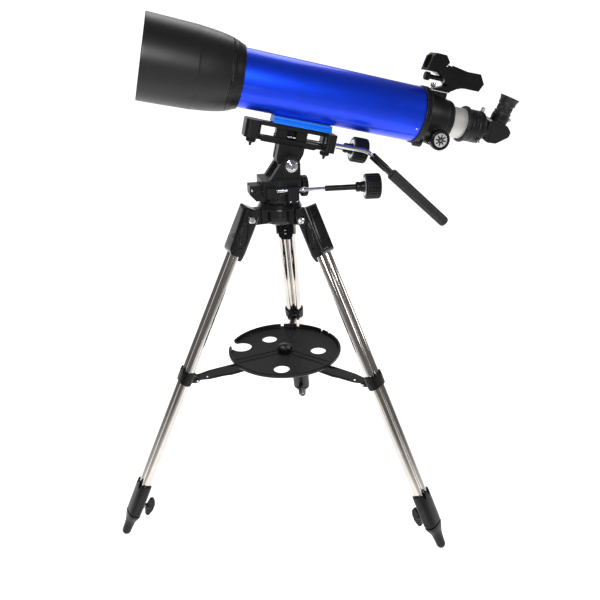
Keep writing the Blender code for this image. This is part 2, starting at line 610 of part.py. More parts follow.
def altitude_sector(tilt):
    """Toothed segment clutched on the altitude bolt, which the worm runs along."""
    outline = []
    teeth = 12
    for i in range(teeth):
        for share, r in ((0.0, SECTOR_R - 0.0012), (0.3, SECTOR_R), (0.6, SECTOR_R), (0.9, SECTOR_R - 0.0012)):
            a = math.radians(68 + 44 * (i + share) / teeth)
            outline.append((r * math.cos(a), r * math.sin(a)))
    outline += arc(0, 0, 0.0150, 150, 390, 12)
    body = link("altitude_sector", prism(outline, ALT_WORM_Y - SECTOR_HALF, ALT_WORM_Y + SECTOR_HALF),
                "gloss_black_casting", tilt)
    bore = link("sector_bore", rod(BOLT_R + GAP, -0.05, 0.05, 14, "Y"), None, tilt)
    return cut(body, bore)


def cradle(tilt):
    """Cradle under the rail: windowed frame, end blocks, worm bearings with a cover, and the neck."""
    y0, y1 = CRADLE_Y
    a0, a1 = CRADLE_A
    body = link("cradle", prism([(a0, CRADLE_TOP), (a0, 0.0370), (-0.0670, 0.0370), (-0.0600, CRADLE_LOW),
                                 (0.0440, CRADLE_LOW), (0.0500, 0.0350), (a1, 0.0350), (a1, CRADLE_TOP)],
                                y0, y1),
                "satin_black_paint", tilt)
    window = link("cradle_window", box((WINDOW_A[0], -0.05, WINDOW_LOW), (WINDOW_A[1], 0.05, WINDOW_TOP)), None, tilt)
    cut(body, window)
    inside = (WINDOW_LOW - 0.002, WINDOW_TOP + 0.002)       # reach of a block into the frame
    blocks = [link(f"cradle_{name}", box((start, near, inside[0]), (end, y1 - 0.0005, inside[1])), None, tilt)
              for name, start, end, near in (("bearing_front", -0.0330, -0.0115, -0.0010),
                                             ("bearing_rear", 0.0070, 0.0285, -0.0010),
                                             ("worm_cover", -0.0300, 0.0250, 0.0130))]
    blocks.append(link("end_block_front", rounded_box((a0, -0.0240, 0.0360), (-0.0655, 0.0200, CRADLE_TOP), 0.002, 1),
                       None, tilt))
    blocks.append(link("end_block_rear", rounded_box((0.0600, -0.0300, 0.0345), (a1, 0.0200, CRADLE_TOP), 0.002, 1),
                       None, tilt))
    neck_outline = ([(-0.0270, CRADLE_LOW + 0.002), (-0.0270, 0.0040)] + arc(0, 0, 0.0200, 200, 322, 9) +
                    [(0.0175, 0.0060), (0.0230, 0.0220), (0.0230, CRADLE_LOW + 0.002)])
    join(body, *blocks, link("neck", prism(neck_outline, -0.0198, 0.0198), None, tilt))
    slot = link("sector_slot", rod(SECTOR_R + 0.0008, ALT_WORM_Y - SECTOR_HALF - 0.0005,
                                   ALT_WORM_Y + SECTOR_HALF + 0.0005, 32, "Y"), None, tilt)
    bolt = link("neck_bore", rod(BOLT_R + GAP, -0.05, 0.05, 14, "Y"), None, tilt)
    worm_room = link("worm_room", rod(WORM_R + 0.0007, -0.0115, 0.0070, 14, "X"), None, tilt,
                     at=(0, ALT_WORM_Y, ALT_WORM_B))
    shaft_room = link("shaft_room", rod(SHAFT_R + GAP, -0.0380, 0.12, 12, "X"), None, tilt,
                      at=(0, ALT_WORM_Y, ALT_WORM_B))
    handle_room = link("handle_room", rod(HANDLE_R + 2 * GAP, 0.0680, 0.12, 14, "X"), None, tilt, at=HANDLE_AT)
    screws = [link(f"clamp_room_{i}", rod(0.0032, 0.0, 0.0600, 10), None, tilt, at=(a, y, 0))
              for i, (a, y, _) in enumerate(CRADLE_SCREWS, 1)]
    return cut(body, slot, bolt, worm_room, shaft_room, handle_room, *screws)


def altitude_worm(tilt):
    profile = ([(0, -0.0360), (SHAFT_R, -0.0360), (SHAFT_R, -0.0105)] +
               worm_profile(WORM_R, 0.0014, -0.0100, 0.0055, 5) +
               [(SHAFT_R, 0.0060), (SHAFT_R, 0.0810), (0.0045, 0.0815), (0.0045, 0.0900), (0, 0.0900)])
    return link("altitude_worm", turned(profile, 12, "X"), "chrome", tilt, at=(0, ALT_WORM_Y, ALT_WORM_B))


def cradle_screw(number, tilt):
    """Pointed thumbscrew under a cradle end."""
    a, y, low = CRADLE_SCREWS[number - 1]
    return link(f"cradle_screw_{number}", turned([
        (0, low - 0.0150), (0.0020, low - 0.0145), (0.0030, low - 0.0095), (0.0085, low - 0.0070),
        (0.0095, low - 0.0040), (0.0095, low - 0.0004), (0.0029, low - 0.0003), (0.0029, 0.0590), (0, 0.0590)],
        12), "black_plastic", tilt, at=(a, y, 0))


def swept(points, radius, steps=12):
    """Round bar along a bent centre line, mitred at the bends."""
    bm = bmesh.new()
    rings = []
    for i, point in enumerate(points):
        before = (point - points[i - 1]).normalized() if i else None
        after = (points[i + 1] - point).normalized() if i + 1 < len(points) else None
        tangent = ((before or after) + (after or before)).normalized()
        side = Vector((0, 1, 0))
        up = side.cross(tangent).normalized()
        side = tangent.cross(up).normalized()
        rings.append([bm.verts.new(point + side * radius * math.cos(2 * math.pi * j / steps) +
                                   up * radius * math.sin(2 * math.pi * j / steps)) for j in range(steps)])
    for low, high in zip(rings, rings[1:]):
        for j in range(steps):
            k = (j + 1) % steps
            bm.faces.new((low[j], low[k], high[k], high[j]))
    bm.faces.new(rings[0])
    bm.faces.new(rings[-1])
    return bm


def pan_handle(tilt):
    """Bent rod from the cradle with a ribbed grip over its end."""
    points = [Vector(point) for point in HANDLE_LINE]
    start, end = points[3], points[4]
    way = (end - start).normalized()
    grip_start = start + way * GRIP_FROM
    bar_end = start + way * ROD_TO
    bar = link("pan_handle_rod", swept(points[:4] + [bar_end], HANDLE_R), "chrome", tilt)
    turn = Vector((1, 0, 0)).rotation_difference(way).to_euler()
    length = (end - grip_start).length
    grip = link("pan_handle_grip", ribbed(0.0110, 0.0012, 12, 0.0, length, "X"), "black_rubber", tilt,
                at=grip_start, turn=turn)
    hole = link("grip_hole", rod(HANDLE_R + GAP, -0.01, 0.0325, 12, "X"), None, tilt, at=grip_start, turn=turn)
    cut(grip, hole)
    return bar, grip


# Optical tube: its own frame with X down the optical axis from the altitude axis
def main_tube(tube):
    r = TUBE_OD / 2
    return link("main_tube", turned([(r, TUBE_FRONT), (r, TUBE_REAR), (r - 0.0015, TUBE_REAR),
                                     (r - 0.0015, TUBE_FRONT)], 40, "X"), "blue_tube_paint", tube)


def dovetail_rail(tilt):
    low, high = CRADLE_TOP + 0.0008, AXIS_B - TUBE_OD / 2 - 0.0004
    outline = [(-0.0165, high), (0.0165, high), (0.0200, low + 0.0030), (0.0200, low), (-0.0200, low),
               (-0.0200, low + 0.0030)]
    return link("dovetail_rail", prism(outline, RAIL_A[0], RAIL_A[1], "YZ"), "azure_anodised_rail", tilt)


def dew_shield(tube):
    outer = [(0.0745, -0.2948), (0.0742, -0.2840), (0.0731, -0.2250), (0.0718, -0.1960), (0.0695, -0.1700),
             (0.0668, -0.1520), (0.0640, -0.1403)]
    inner = [(0.0575, -0.1403), (0.0600, -0.1480), (0.0660, -0.1650), (0.0700, -0.2000), (0.0722, -0.2930),
             (0.0730, -0.2948)]
    return link("dew_shield", turned(outer + inner, 32, "X"), "satin_black_paint", tube)


def objective_cell(tube):
    return link("objective_cell", turned([
        (0.0628, -0.1399), (0.0640, -0.1385), (0.0625, -0.1340), (0.0580, -0.1235), (0.0562, -0.1180),
        (0.0529, -0.1169), (0.0529, -0.1368), (0.0495, -0.1368), (0.0495, -0.1390), (0.0514, -0.1392),
        (0.0514, -0.1520), (0.0555, -0.1522), (0.0555, -0.1399)], 32, "X"), "satin_black_paint", tube)


def objective_lens(tube):
    r = LENS_D / 2
    return link("objective_lens", turned([
        (0, -0.1550), (0.020, -0.1545), (0.038, -0.1529), (r, -0.1508), (r, -0.1395),
        (0.0300, -0.1388), (0, -0.1385)], 28, "X"), "coated_glass", tube)


def focuser_body(tube):
    rear = TUBE_REAR + GAP
    body = link("focuser_body", turned([
        (0.0506, rear - 0.0220), (0.0506, rear), (0.0545, rear), (0.0550, rear + 0.0020),
        (0.0545, rear + 0.0115), (0.0490, rear + 0.0130), (0.0440, rear + 0.0330), (0.0400, rear + 0.0560),
        (0.0385, rear + 0.0660), (0.0360, rear + 0.0690), (DRAW_R + 0.0005, rear + 0.0690),
        (DRAW_R + 0.0005, rear + 0.0080), (0.0470, rear - 0.0030), (0.0490, rear - 0.0220)], 32, "X"),
        "satin_black_paint", tube)
    housing = link("pinion_housing", rounded_box((FOCUS_A - 0.0130, -0.0290, -0.0500),
                                                 (FOCUS_A + 0.0130, 0.0290, -0.0250), 0.003, 1), None, tube)
    lug = link("focuser_lug", rod(0.0110, TUBE_REAR + 0.0050, TUBE_REAR + 0.0210, 14, "X"), None, tube,
               at=(0, -0.014, -0.0480))
    shoe = link("finder_shoe", rounded_box((TUBE_REAR + 0.0140, -0.0130, 0.0400),
                                           (TUBE_REAR + 0.0500, 0.0130, 0.0505), 0.0015, 1), None, tube)
    join(body, housing, lug, shoe)
    bore = link("draw_bore", rod(DRAW_R + 0.0005, TUBE_REAR + 0.0080, TUBE_REAR + 0.12, 32, "X"), None, tube)
    shaft = link("focus_bore", rod(0.0036, -0.06, 0.06, 12, "Y"), None, tube, at=(FOCUS_A, 0, FOCUS_B))
    pinion = link("pinion_room", rod(0.0057, -0.0086, 0.0086, 12, "Y"), None, tube, at=(FOCUS_A, 0, FOCUS_B))
    recesses = [link(f"collar_recess_{side}", rod(0.0066, y0, y1, 12, "Y"), None, tube, at=(FOCUS_A, 0, FOCUS_B))
                for side, y0, y1 in (("near", -0.06, -0.0294), ("far", 0.0294, 0.06))]
    return cut(body, bore, shaft, pinion, *recesses)


def drawtube(tube):
    return link("drawtube", turned([(DRAW_R, 0.2150), (DRAW_R, 0.3345), (DRAW_R - 0.0015, 0.3345),
                                    (DRAW_R - 0.0015, 0.2150)], 28, "X"), "chrome", tube)


def focus_knobs(tube):
    """Two focus knobs; the near one carries the pinion shaft."""
    at = (FOCUS_A, 0, FOCUS_B)
    near = link("focus_knob_near", turned([
        (0, -0.0590), (0.0122, -0.0590), (0.0126, -0.0575), (0.0185, -0.0590), (0.0198, -0.0565),
        (0.0198, -0.0475), (0.0175, -0.0455), (0.0060, -0.0455), (0.0060, -0.0300), (0.0033, -0.0298),
        (0.0033, -0.0080), (0.0050, -0.0078), (0.0050, 0.0078), (0.0033, 0.0080), (0.0033, 0.0298),
        (0, 0.0298)], 20, "Y"), "black_plastic", tube, at)
    far = link("focus_knob_far", turned([
        (0, 0.0303), (0.0060, 0.0303), (0.0060, 0.0455), (0.0175, 0.0455), (0.0198, 0.0475), (0.0198, 0.0565),
        (0.0185, 0.0590), (0.0126, 0.0575), (0.0122, 0.0590), (0, 0.0590)], 20, "Y"), "black_plastic", tube, at)
    return near, far


def eyepiece_adapter(tube):
    """Step-down ring on the drawtube that takes the diagonal's nose."""
    body = link("eyepiece_adapter", turned([
        (0.0345, 0.3348), (0.0355, 0.3365), (0.0355, 0.3400), (0.0320, 0.3430), (0.0310, 0.3460),
        (0.0315, 0.3700), (0.0300, 0.3765), (0.0165, 0.3765), (0.0165, 0.3500), (0.0270, 0.3348)], 24, "X"),
        "satin_black_paint", tube)
    holes = [link(f"adapter_hole_{i}", rod(0.0024, 0.0, 0.045, 8), None, tube, at=(ADAPTER_SCREW_A, 0, 0),
                  turn=(a, 0, 0)) for i, a in enumerate(ADAPTER_SCREW_TURNS, 1)]
    return cut(body, *holes)


def adapter_screw(number, tube):
    return link(f"adapter_screw_{number}", turned([
        (0, 0.0167), (0.0021, 0.0167), (0.0021, 0.0322), (0.0040, 0.0326), (0.0044, 0.0340), (0.0044, 0.0395),
        (0.0036, 0.0405), (0, 0.0405)], 12), "chrome", tube, at=(ADAPTER_SCREW_A, 0, 0),
        turn=(ADAPTER_SCREW_TURNS[number - 1], 0, 0))


def star_diagonal(roll):
    """Mirror diagonal: nose barrel, prism body and eyepiece holder."""
    body = link("star_diagonal", turned([
        (0, 0.3560), (0.0158, 0.3560), (0.0158, 0.3775), (0.0185, 0.3780), (0.0200, 0.3900), (0, 0.3900)],
        20, "X"), "gloss_black_casting", roll)
    outline = [(0.3860, 0.0190), (0.3900, 0.0225), (0.4270, 0.0170), (0.4390, 0.0060), (0.4385, -0.0040),
               (0.4150, -0.0215), (0.3960, -0.0225), (0.3860, -0.0190)]
    prism_body = link("diagonal_body", prism(outline, -0.0185, 0.0185), None, roll)
    holder = link("diagonal_holder", rod(0.0180, 0.0, 0.0340, 20), None, roll, at=DIAG_CENTRE,
                  turn=(0, DIAG_LEAN, 0))
    join(body, prism_body, holder)
    socket = link("holder_socket", rod(0.0162, 0.0120, 0.0600, 20), None, roll, at=DIAG_CENTRE,
                  turn=(0, DIAG_LEAN, 0))
    light = link("nose_bore", rod(0.0130, 0.3000, 0.4180, 20, "X"), None, roll)
    screw = link("holder_screw_hole", rod(0.0024, 0.0, 0.03, 10, "X"), None, roll, at=DIAG_CENTRE,
                 turn=(0, DIAG_LEAN, 0))
    screw.location = Vector(DIAG_CENTRE) + diag_up(HOLDER_SCREW_UP)
    return cut(body, socket, light, screw)


def diag_up(distance):
    return Vector((math.sin(DIAG_LEAN), 0, math.cos(DIAG_LEAN))) * distance


def eyepiece_set_screw(roll):
    return link("eyepiece_set_screw", turned([
        (0, 0.0164), (0.0021, 0.0164), (0.0021, 0.0186), (0.0038, 0.0190), (0.0038, 0.0235), (0.0030, 0.0245),
        (0, 0.0245)], 12, "X"), "chrome", roll, at=Vector(DIAG_CENTRE) + diag_up(HOLDER_SCREW_UP),
        turn=(0, DIAG_LEAN, 0))


def eyepiece(roll):
    return link("eyepiece", turned([
        (0, 0.0130), (0.0158, 0.0130), (0.0158, 0.0345), (0.0172, 0.0350), (0.0172, 0.0400), (0.0150, 0.0415),
        (0.0150, 0.0530), (0.0172, 0.0545), (0.0172, 0.0610), (0.0200, 0.0685), (0.0195, 0.0700),
        (0.0172, 0.0700), (0.0140, 0.0650), (0, 0.0650)], 20), "black_rubber", roll,
        at=DIAG_CENTRE, turn=(0, DIAG_LEAN, 0))


def finder(tube):
    """Red-dot finder: slanted stem, channel body, window hood, lens and knobs."""
    body = link("finder_body", prism(
        [(0.2475, 0.0512), (0.2855, 0.0512), (0.3070, 0.0640), (0.3180, 0.0655), (0.3260, 0.0655),
         (0.3470, 0.0655), (0.3540, 0.0810), (0.3420, 0.0975), (0.3130, 0.0965), (0.2680, 0.1030),
         (0.2480, 0.0960), (0.2440, 0.0850), (0.2620, 0.0790), (0.2790, 0.0640)], -0.0125, 0.0125),
        "black_plastic", tube)
    hood = link("finder_hood", prism(
        [(0.2290, 0.0830), (0.2480, 0.0830), (0.2640, 0.0960), (0.2700, 0.1050), (0.2600, 0.1165),
         (0.2400, 0.1168), (0.2330, 0.1095)], -0.0170, 0.0170), None, tube)
    boss = link("finder_knob_boss", rod(0.0046, -0.0124, 0.0180, 12, "X"), None, tube, at=FINDER_KNOB_AT)
    join(body, hood, boss)
    window = link("finder_window", prism(
        [(-0.0080, 0.0875), (0.0080, 0.0875), (0.0135, 0.0990), (0.0090, 0.1120), (-0.0090, 0.1120),
         (-0.0135, 0.0990)], 0.2200, 0.2800, "YZ"), None, tube)
    channel = link("finder_channel", prism(
        [(0.2600, 0.0920), (0.2600, 0.1400), (0.3250, 0.1400), (0.3250, 0.0920)], -0.0075, 0.0075), None, tube)
    stem_cut = [link(f"stem_side_{s}", box((0.2300, y0, 0.0530), (0.3300, y1, 0.0620)), None, tube)
                for s, y0, y1 in (("near", -0.02, -0.0080), ("far", 0.0080, 0.02))]
    screw_hole = link("finder_screw_hole", rod(0.0024, 0.0450, 0.0700, 10), None, tube, at=(FINDER_SCREW_A, 0, 0))
    knob_hole = link("finder_knob_hole", rod(0.0024, -0.03, 0.0200, 8, "X"), None, tube, at=FINDER_KNOB_AT)
    cut(body, window, channel, *stem_cut, screw_hole, knob_hole)
    lens = link("finder_lens", prism(
        [(-0.0077, 0.0879), (0.0077, 0.0879), (0.0131, 0.0990), (0.0087, 0.1116), (-0.0087, 0.1116),
         (-0.0131, 0.0990)], 0.2420, 0.2440, "YZ"), "gold_coated_glass", tube)
    screw = link("finder_screw", turned([
        (0, 0.0526), (0.0021, 0.0526), (0.0021, 0.0565), (0.0046, 0.0570), (0.0050, 0.0580), (0.0050, 0.0640),
        (0.0042, 0.0650), (0, 0.0650)], 12), "chrome", tube, at=(FINDER_SCREW_A, 0, -0.0009))
    knob = link("finder_knob", turned([
        (0, -0.0230), (0.0070, -0.0230), (0.0078, -0.0215), (0.0078, -0.0135), (0.0021, -0.0130),
        (0.0021, 0.0185), (0, 0.0185)], 12, "X"), "black_plastic", tube, at=FINDER_KNOB_AT)
    return body, lens, screw, knob


def centre_on_floor():
    """Moves the whole model so that its box stands centred on the floor."""
    bpy.context.view_layer.update()
    graph = bpy.context.evaluated_depsgraph_get()
    lo = [math.inf] * 3
    hi = [-math.inf] * 3
    for obj in bpy.data.objects:
        if obj.type != "MESH" or obj.hide_render:
            continue
        shown = obj.evaluated_get(graph)
        for vertex in shown.data.vertices:
            point = shown.matrix_world @ vertex.co
            for i in range(3):
                lo[i] = min(lo[i], point[i])
                hi[i] = max(hi[i], point[i])
    ROOT.location = (-(lo[0] + hi[0]) / 2, -(lo[1] + hi[1]) / 2, -lo[2])


clear_scene()
ROOT = empty("telescope_root")
tripod_hub()
for number, leg_yaw in enumerate(LEG_YAWS, 1):
    leg = leg_frame(number, leg_yaw)
    leg_bracket(number, leg)
    leg_pivot_bolt(number, leg)
    leg_tube(number, leg)
    leg_lock_housing(number, leg)
    leg_lock_knob(number, leg)
    leg_collar(number, leg)
    lower_leg(number, leg)
    spreader_arm(number, leg_yaw)
spreader_hub()
accessory_tray()
tray_knob()
azimuth_yoke()
azimuth_worm()
control_knob("azimuth_control_knob", ROOT, 0.0855, AZ_KNOB_AT, worm_axis_point(0), (0, 0, AZ_WORM_YAW))
azimuth_lock_knob()
altitude_bolt()
tilt_axis = empty("altitude_axis", ROOT, (ALT_X, 0, ALT_Z), (0, TILT, 0))
optical_axis = empty("optical_axis", tilt_axis, (0, 0, AXIS_B))
altitude_sector(tilt_axis)
cradle(tilt_axis)
altitude_worm(tilt_axis)
control_knob("altitude_control_knob", tilt_axis, 0.0905, ALT_KNOB_AT, (0, ALT_WORM_Y, ALT_WORM_B), (0, 0, 0))
pan_handle(tilt_axis)
cradle_screw(1, tilt_axis)
cradle_screw(2, tilt_axis)
dovetail_rail(tilt_axis)
main_tube(optical_axis)
dew_shield(optical_axis)
objective_cell(optical_axis)
objective_lens(optical_axis)
focuser_body(optical_axis)
drawtube(optical_axis)
focus_knobs(optical_axis)
eyepiece_adapter(optical_axis)
adapter_screw(1, optical_axis)
adapter_screw(2, optical_axis)
diagonal_axis = empty("diagonal_axis", optical_axis, (0, 0, 0), (DIAG_ROLL, 0, 0))
star_diagonal(diagonal_axis)
eyepiece_set_screw(diagonal_axis)
eyepiece(diagonal_axis)
finder(optical_axis)
centre_on_floor()
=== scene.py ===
"""Looks of a refractor telescope on its slow-motion mount and tripod.

Fine meshes, finishes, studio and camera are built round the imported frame.
Lengths are metres.  Each sub-assembly is a class whose pieces are made in the
sub-assembly's own frame, read from the joints, and ride on their bodies.
"""

import json
import logging
import math
from collections.abc import Sequence
from dataclasses import dataclass, field
from enum import Enum

import bmesh
import bpy
from mathutils import Matrix, Vector


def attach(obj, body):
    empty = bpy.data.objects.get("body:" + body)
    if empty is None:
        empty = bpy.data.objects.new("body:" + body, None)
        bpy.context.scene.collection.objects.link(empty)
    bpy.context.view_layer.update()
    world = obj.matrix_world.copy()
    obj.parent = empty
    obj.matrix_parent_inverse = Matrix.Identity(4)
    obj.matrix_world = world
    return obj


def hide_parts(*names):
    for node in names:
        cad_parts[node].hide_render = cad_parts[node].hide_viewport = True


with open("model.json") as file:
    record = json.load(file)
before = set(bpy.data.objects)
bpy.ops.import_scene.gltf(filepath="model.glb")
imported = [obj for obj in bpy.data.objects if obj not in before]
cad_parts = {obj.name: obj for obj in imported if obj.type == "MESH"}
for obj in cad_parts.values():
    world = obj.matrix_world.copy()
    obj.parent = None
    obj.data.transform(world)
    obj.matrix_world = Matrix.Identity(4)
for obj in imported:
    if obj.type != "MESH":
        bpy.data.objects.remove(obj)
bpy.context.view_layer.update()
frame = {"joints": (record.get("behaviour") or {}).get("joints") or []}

LOG = logging.getLogger("telescope")
WELD = 1e-6
SHARP = math.radians(40.0)
EDGE = "edge"
Outline = list[tuple[float, float]]
Colour = tuple[float, float, float]


class Axis(Enum):
    """The axis that a form is turned about or drawn along."""

    X = "X"
    Y = "Y"
    Z = "Z"

    def place(self, across: float, up: float, along: float) -> Vector:
        """Point of an outline at a distance along the axis.

        Args:
            across: the first sideways measure.
            up: the second sideways measure.
            along: the measure along the axis.

        Returns:
            The point.
        """
        if self is Axis.X:
            return Vector((along, across, up))
        if self is Axis.Y:
            return Vector((across, along, up))
        return Vector((across, up, along))


@dataclass(frozen=True)
class Ribs:
    """Flutes round a rim.

    Attributes: count round the rim, depth of a flute, and the radius from
    which the rim carries them.
    """

    count: int
    depth: float
    above: float

    def shaped(self, radius: float, height: float, angle: float) -> float:
        """Radius at an angle once the flutes are cut."""
        if radius < self.above:
            return radius
        wave = 0.5 + 0.5 * math.cos(self.count * angle)
        return radius - self.depth * min(1.0, max(0.0, (0.55 - wave) / 0.35))


@dataclass(frozen=True)
class Thread:
    """A one-start thread between two heights."""

    pitch: float
    depth: float
    start: float
    end: float

    def shaped(self, radius: float, height: float, angle: float) -> float:
        """Radius at a height and angle once the thread is cut."""
        if not self.start <= height <= self.end:
            return radius
        phase = (height / self.pitch + angle / math.tau) % 1.0
        return radius - self.depth * min(1.0, max(0.0, (abs(2.0 * phase - 1.0) - 0.3) / 0.35))

    def profile(self, radius: float) -> Outline:
        """Half profile fine enough to carry the thread."""
        count = max(8, round((self.end - self.start) / self.pitch * 9))
        step = (self.end - self.start) / count
        return [(radius, self.start + i * step) for i in range(count + 1)]


def arc(cx: float, cy: float, radius: float, start: float, end: float, steps: int = 24) -> Outline:
    """Points on an arc between two angles in degrees."""
    turns = [math.radians(start + (end - start) * i / steps) for i in range(steps + 1)]
    return [(cx + radius * math.cos(t), cy + radius * math.sin(t)) for t in turns]


def oval(half_x: float, half_y: float, steps: int = 64, power: float = 2.6) -> Outline:
    """A superellipse outline.

    Args:
        half_x: half its width along X.
        half_y: half its width along Y.
        steps: points round the outline.
        power: 2 for an ellipse, more for squarer corners.

    Returns:
        The outline.
    """
    points = []
    for i in range(steps):
        c, s = math.cos(math.tau * i / steps), math.sin(math.tau * i / steps)
        points.append((half_x * math.copysign(abs(c) ** (2 / power), c),
                       half_y * math.copysign(abs(s) ** (2 / power), s)))
    return points


def eased(points: Outline, radius: float, closed: bool = False, steps: int = 3) -> Outline:
    """Rounds the corners of an outline.

    Args:
        points: the outline's corners.
        radius: how far from a corner the rounding starts, at most.
        closed: whether the last point joins the first one.
        steps: short edges in each rounded corner.

    Returns:
        The outline with its corners rounded.
    """
    made: Outline = []
    count = len(points)
    for i, point in enumerate(points):
        if not closed and i in (0, count - 1):
            made.append(point)
            continue
        corner = Vector(point)
        back = Vector(points[i - 1]) - corner
        ahead = Vector(points[(i + 1) % count]) - corner
        reach = min(radius, 0.45 * back.length, 0.45 * ahead.length)
        start = corner + back.normalized() * reach
        end = corner + ahead.normalized() * reach
        for k in range(steps + 1):
            t = k / steps
            made.append(tuple(start * (1 - t) ** 2 + corner * (2 * t * (1 - t)) + end * t * t))
    return made


def flowing(points: Sequence[Vector], steps: int = 6) -> list[Vector]:
    """A smooth line through the points, with steps short runs between two of them.

    Args:
        points: the corner points.
        steps: how many steps each curve is split into.

    Returns:
        The points.
    """
    ends = [points[0] * 2 - points[1], *points, points[-1] * 2 - points[-2]]
    made = []
    for a, b, c, d in zip(ends, ends[1:], ends[2:], ends[3:]):
        for k in range(steps):
            t = k / steps
            made.append(0.5 * ((2 * b) + (c - a) * t + (2 * a - 5 * b + 4 * c - d) * t * t
                               + (3 * b - a - 3 * c + d) * t ** 3))
    return [*made, points[-1]]


def smoothed(points: Outline, steps: int = 6) -> Outline:
    """A smooth outline through the points."""
    return [tuple(p) for p in flowing([Vector(p) for p in points], steps)]


class Form:
    """A closed mesh in the making, in its sub-assembly's frame."""

    def __init__(self) -> None:
        """Starts empty."""
        self.bm = bmesh.new()

    @classmethod
    def skinned(cls, rings: list[list[Vector]], around: bool = False) -> "Form":
        """Skins rings of equal count; around joins the last ring to the first.

        Args:
            rings: rings of points, all of one length.
            around: whether the last ring joins the first.

        Returns:
            The form.
        """
        form = cls()
        rows = [[form.bm.verts.new(point) for point in ring] for ring in rings]
        pairs = list(zip(rows, rows[1:])) + ([(rows[-1], rows[0])] if around else [])
        count = len(rows[0])
        for low, high in pairs:
            for i in range(count):
                j = (i + 1) % count
                form.bm.faces.new((low[i], low[j], high[j], high[i]))
        for ring in () if around else (rows[0], rows[-1]):
            if (ring[0].co - ring[1].co).length > WELD:
                form.bm.faces.new(ring)
        return form

    @classmethod
    def turned(cls, profile: Outline, axis: Axis = Axis.Z, steps: int = 64, ease: float = 0.0004,
               relief: Ribs | Thread | None = None) -> "Form":
        """Turns a half profile about an axis.

        Args:
            profile: (radius, height) points; one off the axis closes on itself.
            axis: the axis it is turned about.
            steps: sides round the axis.
            ease: rounding of the profile's corners.
            relief: flutes or a thread on it.

        Returns:
            The turned form.
        """
        around = profile[0][0] > WELD or profile[-1][0] > WELD
        points = eased(profile, ease, around) if ease else profile
        rings = []
        for radius, height in points:
            ring = []
            for i in range(steps):
                t = math.tau * i / steps
                r = relief.shaped(radius, height, t) if relief else radius
                ring.append(axis.place(r * math.cos(t), r * math.sin(t), height))
            rings.append(ring)
        return cls.skinned(rings, around)

    @classmethod
    def bar(cls, radius: float, start: float, end: float, axis: Axis = Axis.Z, steps: int = 40,
            ease: float = 0.0004) -> "Form":
        """A round bar along an axis."""
        return cls.turned([(0, start), (radius, start), (radius, end), (0, end)], axis, steps, ease)

    @classmethod
    def drawn(cls, outline: Outline, start: float, end: float, axis: Axis = Axis.Z) -> "Form":
        """Draws an outline out along an axis."""
        return cls.skinned([[axis.place(a, b, at) for a, b in outline] for at in (start, end)])

    @classmethod
    def block(cls, low: Sequence[float], high: Sequence[float]) -> "Form":
        """A rectangular block between two corners."""
        return cls.drawn([(low[0], low[1]), (high[0], low[1]), (high[0], high[1]), (low[0], high[1])],
                         low[2], high[2])

    @classmethod
    def lofted(cls, sections: list[tuple[Outline, float]], axis: Axis = Axis.Z) -> "Form":
        """Skins outlines of equal count, each at its distance along the axis."""
        return cls.skinned([[axis.place(a, b, at) for a, b in outline] for outline, at in sections])

    @classmethod
    def swept(cls, line: Sequence[Vector], radius: float, steps: int = 28) -> "Form":
        """A round bar along a bent line that keeps clear of the Y direction.

        Args:
            line: the points of the centre line.
            radius: radius of the round section.
            steps: steps round the section.

        Returns:
            The form.
        """
        rings = []
        for i, point in enumerate(line):
            way = (line[min(i + 1, len(line) - 1)] - line[max(i - 1, 0)]).normalized()
            up = Vector((0, 1, 0)).cross(way).normalized()
            side = way.cross(up).normalized()
            turns = [math.tau * j / steps for j in range(steps)]
            rings.append([point + (side * math.cos(t) + up * math.sin(t)) * radius for t in turns])
        return cls.skinned(rings)

    def moved(self, at: Sequence[float] = (0, 0, 0), turn: Sequence[float] = (0, 0, 0)) -> "Form":
        """Turns the form by X, Y and Z angles, then shifts it."""
        spin = Matrix.Rotation(turn[2], 4, "Z") @ Matrix.Rotation(turn[1], 4, "Y") @ Matrix.Rotation(turn[0],
                                                                                                     4, "X")
        bmesh.ops.transform(self.bm, matrix=Matrix.Translation(at) @ spin, verts=self.bm.verts)
        return self

    def put(self, matrix: Matrix) -> "Form":
        """Moves the form by a matrix."""
        bmesh.ops.transform(self.bm, matrix=matrix, verts=self.bm.verts)
        return self

    def with_form(self, other: "Form") -> "Form":
        """Takes in another form that stands clear of this one."""
        mesh = other.mesh("aside")
        self.bm.from_mesh(mesh)
        bpy.data.meshes.remove(mesh)
        return self

    def mesh(self, name: str) -> bpy.types.Mesh:
        """Closes the form and returns it as a mesh.

        Args:
            name: the mesh's name.

        Returns:
            The mesh.
        """
        bmesh.ops.remove_doubles(self.bm, verts=self.bm.verts, dist=WELD)
        bmesh.ops.recalc_face_normals(self.bm, faces=self.bm.faces)
        mesh = bpy.data.meshes.new(name)
        self.bm.to_mesh(mesh)
        self.bm.free()
        return mesh


